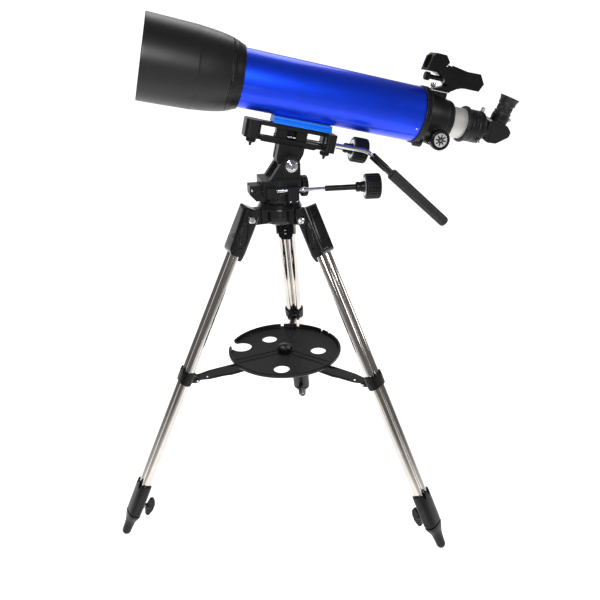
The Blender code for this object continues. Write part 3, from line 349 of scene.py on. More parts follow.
class Board:
    """A material's node board, with short calls for the usual wiring."""

    def __init__(self, name: str) -> None:
        """Starts a material of the given name."""
        self.material = bpy.data.materials.new(name)
        self.material.use_nodes = True
        self.tree = self.material.node_tree
        self.shader = self.tree.nodes["Principled BSDF"]
        self.coords = self.tree.nodes.new("ShaderNodeTexCoord").outputs["Object"]

    def node(self, kind: str, inputs: dict, **settings: object) -> bpy.types.Node:
        """Adds a node with its settings, and its inputs set or linked.

        Args:
            kind: the node's type.
            inputs: values or sockets by input name or number.

        Returns:
            The node.
        """
        made = self.tree.nodes.new(kind)
        for key, value in settings.items():
            setattr(made, key, value)
        for key, value in inputs.items():
            if isinstance(value, bpy.types.NodeSocket):
                self.tree.links.new(value, made.inputs[key])
            else:
                made.inputs[key].default_value = value
        return made

    def noise(self, scale: float, detail: float = 3.0,
              stretch: Sequence[float] = (1, 1, 1)) -> bpy.types.NodeSocket:
        """Noise of so many grains per metre, stretched along an axis where its share is small."""
        mapped = self.node("ShaderNodeMapping", {"Vector": self.coords, "Scale": stretch})
        return self.node("ShaderNodeTexNoise", {"Vector": mapped.outputs[0], "Scale": scale,
                                                "Detail": detail}).outputs[0]

    def ranged(self, value: bpy.types.NodeSocket, start: float, end: float, low: float,
               high: float) -> bpy.types.NodeSocket:
        """The value's run from start to end spread from low to high."""
        return self.node("ShaderNodeMapRange", {"Value": value, "From Min": start, "From Max": end,
                                                "To Min": low, "To Max": high}).outputs[0]

    def times(self, a: bpy.types.NodeSocket, b: bpy.types.NodeSocket) -> bpy.types.NodeSocket:
        """The product of two values."""
        return self.node("ShaderNodeMath", {0: a, 1: b}, operation="MULTIPLY").outputs[0]

    def mixed(self, share: bpy.types.NodeSocket, first: object, second: object) -> bpy.types.NodeSocket:
        """A colour between two, by share."""
        return self.node("ShaderNodeMix", {0: share, 6: first, 7: second}, data_type="RGBA").outputs[2]

    def bumped(self, height: bpy.types.NodeSocket, distance: float,
               under: bpy.types.NodeSocket | None = None) -> bpy.types.NodeSocket:
        """A normal raised by a height, over an earlier bump if there is one.

        Args:
            height: the height map.
            distance: the height's scale in metres.
            under: an earlier bump to build on.

        Returns:
            The node.
        """
        inputs = {"Height": height, "Distance": distance, "Strength": 1.0}
        if under is not None:
            inputs["Normal"] = under
        return self.node("ShaderNodeBump", inputs).outputs[0]


@dataclass(frozen=True)
class Finish:
    """A surface finish.

    Attributes:
        slot: the record's material slot; not used.
        colour: its main colour, linear.
        rough: least and most roughness over the surface.
        metallic: 1 for bare metal.
        drift: how far the colour drifts over the surface.
        grain: grains per metre, and depth their height in metres.
        stretch: the grain's stretch along X, Y and Z.
        wear: how far worn edges show the bare colour.
        coat: clear lacquer, with its roughness.
        clear: how much light goes through.
        shine: strength of the reflection of paint and plastic.
    """

    slot: str
    colour: Colour
    rough: tuple[float, float]
    metallic: float = 0.0
    drift: float = 0.2
    grain: float = 1600.0
    depth: float = 0.00001
    stretch: tuple[float, float, float] = (1.0, 1.0, 1.0)
    wear: float = 0.0
    bare: Colour = (0.16, 0.16, 0.165)
    coat: float = 0.0
    coat_rough: float = 0.03
    clear: float = 0.0
    ior: float = 1.5
    sheen: float = 0.0
    shine: float = 0.5

    def material(self, name: str) -> bpy.types.Material:
        """Builds the finish's node material.

        Args:
            name: the material's name.

        Returns:
            The material.
        """
        board = Board(name)
        shader = board.shader
        shader.inputs["Metallic"].default_value = self.metallic
        shader.inputs["IOR"].default_value = self.ior
        shader.inputs["Coat Weight"].default_value = self.coat
        shader.inputs["Coat Roughness"].default_value = self.coat_rough
        shader.inputs["Transmission Weight"].default_value = self.clear
        shader.inputs["Sheen Weight"].default_value = self.sheen
        shader.inputs["Specular IOR Level"].default_value = self.shine
        broad = board.noise(22.0, 4.0)
        fine = board.noise(self.grain, 2.0, self.stretch)
        smear = board.noise(140.0, 5.0, self.stretch)
        light = (*(min(1.0, c * (1 + self.drift)) for c in self.colour), 1.0)
        dark = (*(c * (1 - self.drift) for c in self.colour), 1.0)
        colour = board.mixed(board.ranged(broad, 0.35, 0.65, 0.0, 1.0), dark, light)
        rough = board.ranged(smear, 0.3, 0.7, *self.rough)
        if self.wear:
            edge = board.node("ShaderNodeAttribute", {}, attribute_name=EDGE).outputs["Fac"]
            patchy = board.ranged(board.noise(260.0, 4.0), 0.45, 0.65, 0.0, self.wear)
            colour = board.mixed(board.times(edge, patchy), colour, (*self.bare, 1.0))
        links = board.tree.links
        links.new(colour, shader.inputs["Base Color"])
        links.new(rough, shader.inputs["Roughness"])
        under = board.bumped(smear, self.depth * 1.5)
        links.new(board.bumped(fine, self.depth, under), shader.inputs["Normal"])
        return board.material


class Look(Enum):
    """The finishes that the telescope's makers use."""

    SATIN_PAINT = Finish("satin_black_paint", (0.006, 0.006, 0.007), (0.34, 0.44), wear=0.35, depth=0.000006,
                         shine=0.30)
    SHIELD_PAINT = Finish("satin_black_paint", (0.009, 0.009, 0.010), (0.36, 0.42), grain=2600.0,
                          depth=0.000003, drift=0.1, shine=0.42)
    LINING = Finish("satin_black_paint", (0.004, 0.004, 0.004), (0.85, 0.95), grain=3000.0, depth=0.00003)
    GLOSS_CASTING = Finish("gloss_black_casting", (0.006, 0.006, 0.007), (0.16, 0.26), wear=0.4,
                           grain=900.0, depth=0.000005, coat=0.22, coat_rough=0.10, shine=0.30)
    PLASTIC = Finish("black_plastic", (0.005, 0.005, 0.006), (0.30, 0.42), grain=2800.0, depth=0.000007,
                     wear=0.15, bare=(0.05, 0.05, 0.052), shine=0.25)
    GLOSS_PLASTIC = Finish("black_plastic", (0.005, 0.005, 0.006), (0.18, 0.30), grain=1200.0,
                           depth=0.000004, wear=0.1, bare=(0.04, 0.04, 0.04), shine=0.35)
    BLUE_LACQUER = Finish("blue_tube_paint", (0.0, 0.050, 0.85), (0.40, 0.46), metallic=0.8, drift=0.05,
                          grain=6000.0, depth=0.0000008, coat=0.40, coat_rough=0.02)
    AZURE = Finish("azure_anodised_rail", (0.0, 0.19, 0.90), (0.36, 0.46), metallic=0.15, drift=0.06,
                   grain=1500.0, depth=0.000004, stretch=(0.05, 1.0, 1.0))
    STEEL = Finish("polished_steel", (0.60, 0.56, 0.52), (0.08, 0.16), metallic=1.0, drift=0.06,
                   grain=3000.0, depth=0.000002, stretch=(1.0, 1.0, 0.03))
    SILVER = Finish("polished_steel", (0.80, 0.80, 0.80), (0.25, 0.35), metallic=0.6, drift=0.04,
                    grain=2000.0, depth=0.000002)
    SATIN_CHROME = Finish("chrome", (0.62, 0.60, 0.58), (0.36, 0.44), metallic=0.45, drift=0.04,
                          grain=3000.0, depth=0.000002, stretch=(1.0, 0.05, 0.05))
    CHROME = Finish("chrome", (0.70, 0.70, 0.71), (0.06, 0.14), metallic=1.0, drift=0.04, grain=1500.0,
                    depth=0.000001)
    RUBBER = Finish("black_rubber", (0.009, 0.009, 0.010), (0.48, 0.62), grain=2200.0, depth=0.000008,
                    sheen=0.1)
    LENS_GLASS = Finish("coated_glass", (0.72, 0.90, 0.80), (0.0, 0.02), drift=0.02, depth=0.0, clear=0.9,
                        coat=1.0)
    GOLD_GLASS = Finish("gold_coated_glass", (1.0, 0.72, 0.0), (0.30, 0.40), drift=0.05, depth=0.0,
                        clear=0.0, coat=0.3)


class Frames:
    """Frames of the sub-assemblies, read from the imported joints."""

    AXIS_ABOVE = 0.1354     # optical axis above the altitude axis
    PLATE = 0.70            # the azimuth joint's height above the floor

    def __init__(self, joints: list[dict]) -> None:
        """Keeps what it is given."""
        self.joints = {joint["name"]: joint for joint in joints}

    def at(self, joint: str) -> Vector:
        """Where a hinge's axis passes."""
        return Vector(self.joints[joint]["pos_m"])

    def axis(self, joint: str) -> Vector:
        """Which way a joint's axis points."""
        return Vector(self.joints[joint]["axis"]).normalized()

    @staticmethod
    def basis(origin: Vector, x: Vector, y: Vector) -> Matrix:
        """A frame from its origin and two of its axes."""
        rows = Matrix((x, y, x.cross(y))).transposed().to_4x4()
        return Matrix.Translation(origin) @ rows

    def ground(self) -> Matrix:
        """Frame on the floor under the azimuth axis."""
        return Matrix.Translation(self.at("azimuth") - Vector((0, 0, self.PLATE)))

    def leg(self, number: int) -> Matrix:
        """Frame at a leg's pivot: X outward, Z up the leg."""
        y = self.axis(f"leg_fold_{number}")
        z = -self.axis(f"leg_extend_{number}")
        return self.basis(self.at(f"leg_fold_{number}"), y.cross(z), y)

    def arm(self, number: int) -> Matrix:
        """Frame at a spreader arm's outer pin: X outward, Z up."""
        y = self.axis(f"arm_pivot_{number}")
        return self.basis(self.at(f"arm_pivot_{number}"), y.cross(Vector((0, 0, 1))), y)

    def azimuth_worm(self) -> Matrix:
        """Frame on the azimuth worm: X along it towards the control."""
        x = self.axis("azimuth_control_turn")
        return self.basis(self.at("azimuth_control_turn"), x, Vector((0, 0, 1)).cross(x))

    def tilt(self) -> Matrix:
        """Frame at the altitude axis: X along the tube, Z square to it."""
        return self.basis(self.at("altitude_coarse"), self.axis("tube_slide"), Vector((0, 1, 0)))

    def tube(self) -> Matrix:
        """Frame on the optical axis: X towards the eyepiece."""
        return self.tilt() @ Matrix.Translation((0, 0, self.AXIS_ABOVE))


class Bench:
    """Makes pieces from forms, dresses them and hangs them on their bodies."""

    def __init__(self) -> None:
        """Starts empty."""
        self.materials: dict[Look, bpy.types.Material] = {}

    def material(self, look: Look) -> bpy.types.Material:
        """The look's material, made once."""
        if look not in self.materials:
            self.materials[look] = look.value.material(look.name.lower())
        return self.materials[look]

    @staticmethod
    def loose(name: str, mesh: bpy.types.Mesh) -> bpy.types.Object:
        """Links a mesh as an object."""
        made = bpy.data.objects.new(name, mesh)
        bpy.context.scene.collection.objects.link(made)
        return made

    @staticmethod
    def mark_edges(mesh: bpy.types.Mesh) -> None:
        """Marks the narrow faces along convex edges, where paint wears first.

        Args:
            mesh: the mesh to mark.
        """
        narrow, bend = 0.0008, 0.15
        bm = bmesh.new()
        bm.from_mesh(mesh)
        values = []
        for face in bm.faces:
            slim = 2.0 * face.calc_area() < narrow * face.calc_perimeter()
            bent = slim and any(len(e.link_faces) == 2 and e.calc_face_angle_signed() > bend
                                for e in face.edges)
            values.append(1.0 if bent else 0.0)
        bm.free()
        mesh.attributes.new(EDGE, "FLOAT", "FACE").data.foreach_set("value", values)

    def carved(self, base: Form, joins: Sequence[Form], cuts: Sequence[Form], edge: float) -> bpy.types.Mesh:
        """Joins and cuts forms, and rounds the edges that are left.

        Args:
            base: the form to start from.
            joins: forms that become one with it.
            cuts: forms that are cut away after that.
            edge: rounding of sharp edges.

        Returns:
            The finished mesh.
        """
        body = self.loose("body_in_work", base.mesh("body_in_work"))
        tools = []
        for operation, forms in (("UNION", joins), ("DIFFERENCE", cuts)):
            for form in forms:
                tools.append(self.loose("tool_in_work", form.mesh("tool_in_work")))
                step = body.modifiers.new(operation, "BOOLEAN")
                step.operation = operation
                step.object = tools[-1]
                step.solver = "EXACT"
        if edge:
            rounding = body.modifiers.new("rounding", "BEVEL")
            rounding.width = edge
            rounding.segments = 2
            rounding.limit_method = "ANGLE"
            rounding.angle_limit = math.radians(32)
            rounding.miter_outer = "MITER_ARC"
        graph = bpy.context.evaluated_depsgraph_get()
        mesh = bpy.data.meshes.new_from_object(body.evaluated_get(graph))
        for obj in (body, *tools):
            spent = obj.data
            bpy.data.objects.remove(obj)
            bpy.data.meshes.remove(spent)
        return mesh

    def common(self, form: Form, tool: Form, operation: str = "INTERSECT") -> Form:
        """The form that two forms share, or what one leaves of the other.

        Args:
            form: the form to start from.
            tool: the form that it is worked with.
            operation: the Boolean operation.

        Returns:
            The form.
        """
        body = self.loose("body_in_work", form.mesh("body_in_work"))
        other = self.loose("tool_in_work", tool.mesh("tool_in_work"))
        step = body.modifiers.new(operation, "BOOLEAN")
        step.operation = operation
        step.object = other
        step.solver = "EXACT"
        made = Form()
        made.bm.from_object(body, bpy.context.evaluated_depsgraph_get())
        for obj in (body, other):
            spent = obj.data
            bpy.data.objects.remove(obj)
            bpy.data.meshes.remove(spent)
        return made

    def piece(self, name: str, form: Form, look: Look, body: str, place: Matrix,
              replaces: Sequence[str] = (), joins: Sequence[Form] = (), cuts: Sequence[Form] = (),
              edge: float = 0.0) -> bpy.types.Object:
        """Makes one piece of the telescope.

        Args:
            name: the piece's name.
            form: its main form, in the frame of place.
            look: its finish.
            body: the body that it moves with.
            place: its sub-assembly's frame.
            replaces: nodes that it stands for.
            joins: forms joined to it.
            cuts: forms cut from it.
            edge: rounding of its sharp edges.

        Returns:
            The finished object.
        """
        mesh = self.carved(form, joins, cuts, edge) if joins or cuts or edge else form.mesh(name)
        mesh.name = name
        mesh.shade_smooth()
        mesh.set_sharp_from_angle(angle=SHARP)
        if look.value.wear:
            self.mark_edges(mesh)
        mesh.materials.clear()
        mesh.materials.append(self.material(look))
        made = self.loose(name, mesh)
        made.matrix_world = place
        if edge:
            made.modifiers.new("even_shading", "WEIGHTED_NORMAL").keep_sharp = True
        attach(made, body)
        if replaces:
            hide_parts(*replaces)
        LOG.info("%s on %s: %d faces", name, body, len(mesh.polygons))
        return made

    def screw(self, name: str, look: Look, body: str, place: Matrix, at: Sequence[float],
              turn: Sequence[float], radius: float, height: float) -> bpy.types.Object:
        """A small domed screw head with a cross slot, its foot at the given point.

        Args:
            name: the screw's name.
            look: its finish.
            body: the body that it moves with.
            place: the frame that it is placed in.
            at: the head's foot, in the frame of place.
            turn: its turns about X, Y and Z.
            radius: the head's radius.
            height: the head's height.

        Returns:
            The finished object.
        """
        head = Form.turned([(0, -0.0004), (radius, -0.0004), (radius, height * 0.45), (radius * 0.6, height),
                            (0, height * 1.1)], steps=28, ease=radius * 0.3)
        width = radius * 0.16
        slots = [Form.block((-radius * 0.6, -width, height * 0.55), (radius * 0.6, width, height * 2)),
                 Form.block((-width, -radius * 0.6, height * 0.55), (width, radius * 0.6, height * 2))]
        spun = Matrix.Translation(at) @ Matrix.Rotation(turn[2], 4, "Z") @ Matrix.Rotation(turn[1], 4, "Y")
        return self.piece(name, head, look, body, place @ spun @ Matrix.Rotation(turn[0], 4, "X"),
                          cuts=slots)


def thumbscrew(start: float, neck: float, head: float, radius: float, axis: Axis = Axis.Z) -> Form:
    """A knurled thumbscrew: stem from start, head from neck to its end."""
    stem = 0.0021
    return Form.turned([(0, start), (stem, start), (stem, neck), (radius * 0.86, neck + 0.0004),
                        (radius, neck + 0.0014), (radius, head - 0.0012), (radius * 0.8, head), (0, head)],
                       axis, 96, 0.0003, Ribs(24, 0.00035, radius * 0.97))


@dataclass
class OpticalTube:
    """The lacquered tube, its front cell and lens, the shield and the rail."""

    radius: float = 0.0525
    wall: float = 0.0015
    front: float = -0.1365
    rear: float = 0.2330
    screw_turns: tuple[float, ...] = (207.0, 327.0, 87.0)
    rail_ends: tuple[float, float] = (-0.0454, 0.0691)
    rail_low: float = 0.0697
    rail_high: float = 0.0825
    body: str = "optical_tube"

    def build(self, bench: Bench, frames: Frames) -> None:
        """Builds every piece of the tube.

        Args:
            bench: makes the pieces and hangs them on their bodies.
            frames: the frames of the sub-assemblies.
        """
        tube = frames.tube()
        self.shell(bench, tube)
        self.shield(bench, tube)
        self.cell(bench, tube)
        self.rail(bench, frames.tilt())

    def shell(self, bench: Bench, tube: Matrix) -> None:
        """The blue tube, its end screws and its baffles.

        Args:
            bench: makes the pieces and hangs them on their bodies.
            tube: the frame on the optical axis.
        """
        inner = self.radius - self.wall
        shell = Form.turned([(self.radius, self.front), (self.radius, self.rear), (inner, self.rear),
                             (inner, self.front)], Axis.X, 192, 0.0005)
        bench.piece("tube_shell", shell, Look.BLUE_LACQUER, self.body, tube, ["main_tube"])
        for number, turn in enumerate(self.screw_turns, 1):
            spin = math.radians(turn - 90)
            at = (self.rear - 0.0085, math.cos(math.radians(turn)) * self.radius,
                  math.sin(math.radians(turn)) * self.radius)
            bench.screw(f"tube_end_screw_{number}", Look.CHROME, self.body, tube, at, (spin, 0, 0), 0.0023,
                        0.0012)
        for number, at in enumerate((-0.03, 0.08, 0.17), 1):
            hole = 0.044 - 0.006 * number
            ring = Form.turned([(hole, at - 0.0005), (inner - 0.0003, at - 0.0005),
                                (inner - 0.0003, at + 0.0005), (hole, at + 0.0005)], Axis.X, 96, 0.0)
            bench.piece(f"tube_baffle_{number}", ring, Look.LINING, self.body, tube)

    def shield(self, bench: Bench, tube: Matrix) -> None:
        """The dew shield: a straight front, a break in slope, then the taper.

        Args:
            bench: makes the pieces and hangs them on their bodies.
            tube: the frame on the optical axis.
        """
        outer = [(0.0738, -0.2948), (0.0745, -0.2940), (0.0744, -0.2890), (0.0737, -0.2500),
                 (0.0724, -0.1990),
                 (0.0718, -0.1965), *smoothed([(0.0718, -0.1965), (0.0702, -0.1760), (0.0676, -0.1560),
                                               (0.0650, -0.1425)])[1:], (0.0640, -0.1403)]
        inner = [(0.0575, -0.1403), (0.0600, -0.1480), (0.0660, -0.1650), (0.0700, -0.2000),
                 (0.0722, -0.2930), (0.0728, -0.2948)]
        shell = Form.turned(outer + inner, Axis.X, 192, 0.0005)
        bench.piece("dew_shield_shell", shell, Look.SHIELD_PAINT, "dew_shield", tube, ["dew_shield"])
        lining = smoothed([(0.0607, -0.1500), (0.0658, -0.1655), (0.0697, -0.2000), (0.0710, -0.2500),
                           (0.0717, -0.2890)], 4)
        sheet = lining + [(r - 0.0004, a) for r, a in reversed(lining)]
        bench.piece("dew_shield_lining", Form.turned([(r - 0.0003, a) for r, a in sheet], Axis.X, 128, 0.0),
                    Look.LINING, "dew_shield", tube)

    def cell(self, bench: Bench, tube: Matrix) -> None:
        """The objective's cell, with its retaining ring and the lens.

        Args:
            bench: makes the pieces and hangs them on their bodies.
            tube: the frame on the optical axis.
        """
        profile = [(0.0628, -0.1399), (0.0641, -0.1392), (0.0641, -0.1380), (0.0628, -0.1368),
                   (0.0622, -0.1330),
                   (0.0582, -0.1240), (0.0562, -0.1180), (0.0529, -0.1169), (0.0529, -0.1368),
                   (0.0495, -0.1368),
                   (0.0495, -0.1390), (0.0514, -0.1392), (0.0514, -0.1516), (0.0488, -0.1522),
                   (0.0488, -0.1546), (0.0552, -0.1546), (0.0555, -0.1520), (0.0555, -0.1399)]
        notches = [Form.block((-0.156, -0.002, 0.0480), (-0.1533, 0.002, 0.0530)).moved(turn=(t, 0, 0))
                   for t in (0.0, math.pi)]
        bench.piece("objective_cell_ring", Form.turned(profile, Axis.X, 160, 0.0005), Look.SATIN_PAINT,
                    self.body, tube, ["objective_cell"], cuts=notches)
        face = [(r, -0.1550 + r * r * 1.6) for r in (i * 0.051 / 12 for i in range(13))]
        back = [(r, -0.1383 - r * r * 0.5) for r in (0.051, 0.04, 0.03, 0.02, 0.01, 0.0)]
        bench.piece("objective_glass", Form.turned(face + back, Axis.X, 96, 0.0), Look.LENS_GLASS, self.body,
                    tube, ["objective_lens"])

    def rail(self, bench: Bench, tilt: Matrix) -> None:
        """The azure dovetail rail with its grooves and saddle pads.

        Args:
            bench: makes the pieces and hangs them on their bodies.
            tilt: the frame at the altitude axis.
        """
        low, high = self.rail_low, self.rail_high
        outline = [(-0.0165, high), (0.0165, high), (0.0172, high - 0.0035), (0.0164, high - 0.0042),
                   (0.0176, high - 0.0050), (0.0200, low + 0.0030), (0.0200, low), (0.0060, low),
                   (0.0050, low + 0.0012), (-0.0050, low + 0.0012), (-0.0060, low), (-0.0200, low),
                   (-0.0200, low + 0.0030), (-0.0176, high - 0.0050), (-0.0164, high - 0.0042),
                   (-0.0172, high - 0.0035)]
        bar = Form.drawn(outline, *self.rail_ends, Axis.X)
        bench.piece("dovetail_rail_bar", bar, Look.AZURE, self.body, tilt, ["dovetail_rail"], edge=0.0004)


@dataclass
class Focuser:
    """The rack focuser: casting, knobs, drawtube, adapter and their screws."""

    face: float = 0.2333
    shaft: tuple[float, float] = (0.2738, -0.0355)
    draw_radius: float = 0.0298
    draw_end: float = 0.3345
    screw_at: float = 0.3690
    screw_turns: tuple[float, float] = (math.radians(15), math.radians(138))
    body: str = "optical_tube"

    def build(self, bench: Bench, frames: Frames) -> None:
        """Builds every piece of the focuser."""
        tube = frames.tube()
        self.casting(bench, tube)
        self.knobs(bench, tube)
        self.drawtube(bench, tube)

    def casting(self, bench: Bench, tube: Matrix) -> None:
        """The flanged body with its pinion box, lug and finder shoe.

        Args:
            bench: makes the pieces and hangs them on their bodies.
            tube: the frame on the optical axis.
        """
        f, bore = self.face, self.draw_radius + 0.0005
        a, b = self.shaft
        profile = [(0.0506, f - 0.0220), (0.0506, f), (0.0545, f), (0.0551, f + 0.0010),
                   (0.0551, f + 0.0105), (0.0535, f + 0.0122), (0.0490, f + 0.0130),
                   *smoothed([(0.0484, f + 0.0150), (0.0440, f + 0.0330),
                                                                         (0.0405, f + 0.0540)]),
                   (0.0400, f + 0.0560), (0.0390, f + 0.0565), (0.0388, f + 0.0650), (0.0370, f + 0.0690),
                   (bore, f + 0.0690), (bore, f + 0.0080), (0.0470, f - 0.0030), (0.0490, f - 0.0220)]
        joins = [
            Form.drawn(eased([(a - 0.0130, -0.0500), (a + 0.0130, -0.0500), (a + 0.0130, -0.0250),
                              (a - 0.0130, -0.0250)], 0.006, True, 6), -0.0290, 0.0290, Axis.Y),
            Form.bar(0.0110, 0.2380, 0.2540, Axis.X, 48, 0.0015).moved((0, -0.014, -0.0480)),
            Form.block((0.2470, -0.0130, 0.0400), (0.2830, 0.0130, 0.0505)),
        ]
        cuts = [Form.bar(bore, 0.2410, 0.353, Axis.X, 128), Form.bar(0.0036, -0.06, 0.06,
                                                                     Axis.Y).moved((a, 0, b)),
                Form.bar(0.0057, -0.0086, 0.0086, Axis.Y).moved((a, 0, b)),
                *(Form.bar(0.0066, *ends, Axis.Y).moved((a, 0, b)) for ends in ((-0.06, -0.0294),
                                                                                (0.0294, 0.06)))]
        bench.piece("focuser_casting", Form.turned(profile, Axis.X, 128, 0.0008), Look.SATIN_PAINT,
                    self.body, tube, ["focuser_body"], joins, cuts, 0.0007)
        for number, (along, side) in enumerate(((-0.0085, -1), (0.0085, -1), (-0.0085, 1), (0.0085, 1)), 1):
            bench.screw(f"pinion_box_screw_{number}", Look.CHROME, self.body, tube,
                        (a + along, side * 0.0290, -0.0455), (-side * math.pi / 2, 0, 0), 0.0017, 0.0010)

    def knobs(self, bench: Bench, tube: Matrix) -> None:
        """Two focus knobs, each with a silver dial and a black star.

        Args:
            bench: makes the pieces and hangs them on their bodies.
            tube: the frame on the optical axis.
        """
        place = tube @ Matrix.Translation((self.shaft[0], 0, self.shaft[1]))
        for node, side in (("focus_knob_near", -1), ("focus_knob_far", 1)):
            s = side
            rim = [(0, s * 0.0578), (0.0136, s * 0.0578), (0.0139, s * 0.0584), (0.0180, s * 0.0590),
                   (0.0194, s * 0.0580), (0.0198, s * 0.0562), (0.0198, s * 0.0478), (0.0176, s * 0.0455),
                   (0.0060, s * 0.0455), (0.0060, s * 0.0302)]
            if side < 0:
                rim += [(0.0033, -0.0298), (0.0033, -0.0080), (0.0050, -0.0078), (0.0050, 0.0078),
                        (0.0033, 0.0080), (0.0033, 0.0298), (0, 0.0298)]
            else:
                rim += [(0, 0.0303)]
            bench.piece(f"{node}_rim", Form.turned(rim, Axis.Y, 144, 0.0006, Ribs(48, 0.0004, 0.01975)),
                        Look.GLOSS_PLASTIC, "focus_knobs", place, [node])
            dial = Form.turned([(0, s * 0.0575), (0.0132, s * 0.0575), (0.0132, s * 0.0585),
                                (0, s * 0.0585)],
                               Axis.Y, 96, 0.0002)
            bench.piece(f"{node}_dial", dial, Look.SILVER, "focus_knobs", place)
            star = []
            for i in range(32):
                reach = (0.0118, 0.0100, 0.0042, 0.0100)[i % 4]
                t = math.radians(11.25) * i + (0.0, -0.085, 0.0, 0.085)[i % 4]
                star.append((reach * math.cos(t), reach * math.sin(t)))
            low, high = sorted((s * 0.0583, s * 0.0589))
            bench.piece(f"{node}_star", Form.drawn(star, low, high, Axis.Y), Look.GLOSS_PLASTIC,
                        "focus_knobs", place)
            cap = Form.turned([(0, s * 0.0586), (0.0026, s * 0.0586), (0.0026, s * 0.05895),
                               (0, s * 0.0590)],
                              Axis.Y, 32, 0.0002)
            bench.piece(f"{node}_cap", cap, Look.CHROME, "focus_knobs", place)

    def drawtube(self, bench: Bench, tube: Matrix) -> None:
        """The bright drawtube, the step-down adapter and its two screws.

        Args:
            bench: makes the pieces and hangs them on their bodies.
            tube: the frame on the optical axis.
        """
        r, end = self.draw_radius, self.draw_end
        sleeve = Form.turned([(r, 0.2150), (r, end), (r - 0.0015, end), (r - 0.0015, 0.2150)], Axis.X, 128,
                             0.0003)
        bench.piece("drawtube_sleeve", sleeve, Look.SATIN_CHROME, "drawtube", tube, ["drawtube"])
        ring = Form.turned([
            (0.0330, 0.3348), (0.0350, 0.3352), (0.0356, 0.3370), (0.0356, 0.3396), (0.0345, 0.3410),
                            (0.0322, 0.3420),
            (0.0312, 0.3440), (0.0310, 0.3480), (0.0317, 0.3490), (0.0317, 0.3560), (0.0311, 0.3570),
                            (0.0311, 0.3620),
            (0.0317, 0.3630), (0.0317, 0.3725), (0.0308, 0.3755), (0.0290, 0.3765), (0.0165, 0.3765),
                            (0.0165, 0.3500),
            (0.0270, 0.3348)], Axis.X, 144, 0.0004, Ribs(48, 0.0004, 0.03555))
        holes = [Form.bar(0.0024, 0.0, 0.045, steps=24).moved((self.screw_at, 0, 0), (t, 0, 0))
                 for t in self.screw_turns]
        bench.piece("adapter_ring", ring, Look.SATIN_PAINT, "drawtube", tube, ["eyepiece_adapter"],
                    cuts=holes)
        for number, turn in enumerate(self.screw_turns, 1):
            place = tube @ Matrix.Translation((self.screw_at, 0, 0)) @ Matrix.Rotation(turn, 4, "X")
            bench.piece(f"adapter_thumbscrew_{number}", thumbscrew(0.0167, 0.0322, 0.0405, 0.0044),
                        Look.CHROME, f"adapter_screw_{number}", place, [f"adapter_screw_{number}"])


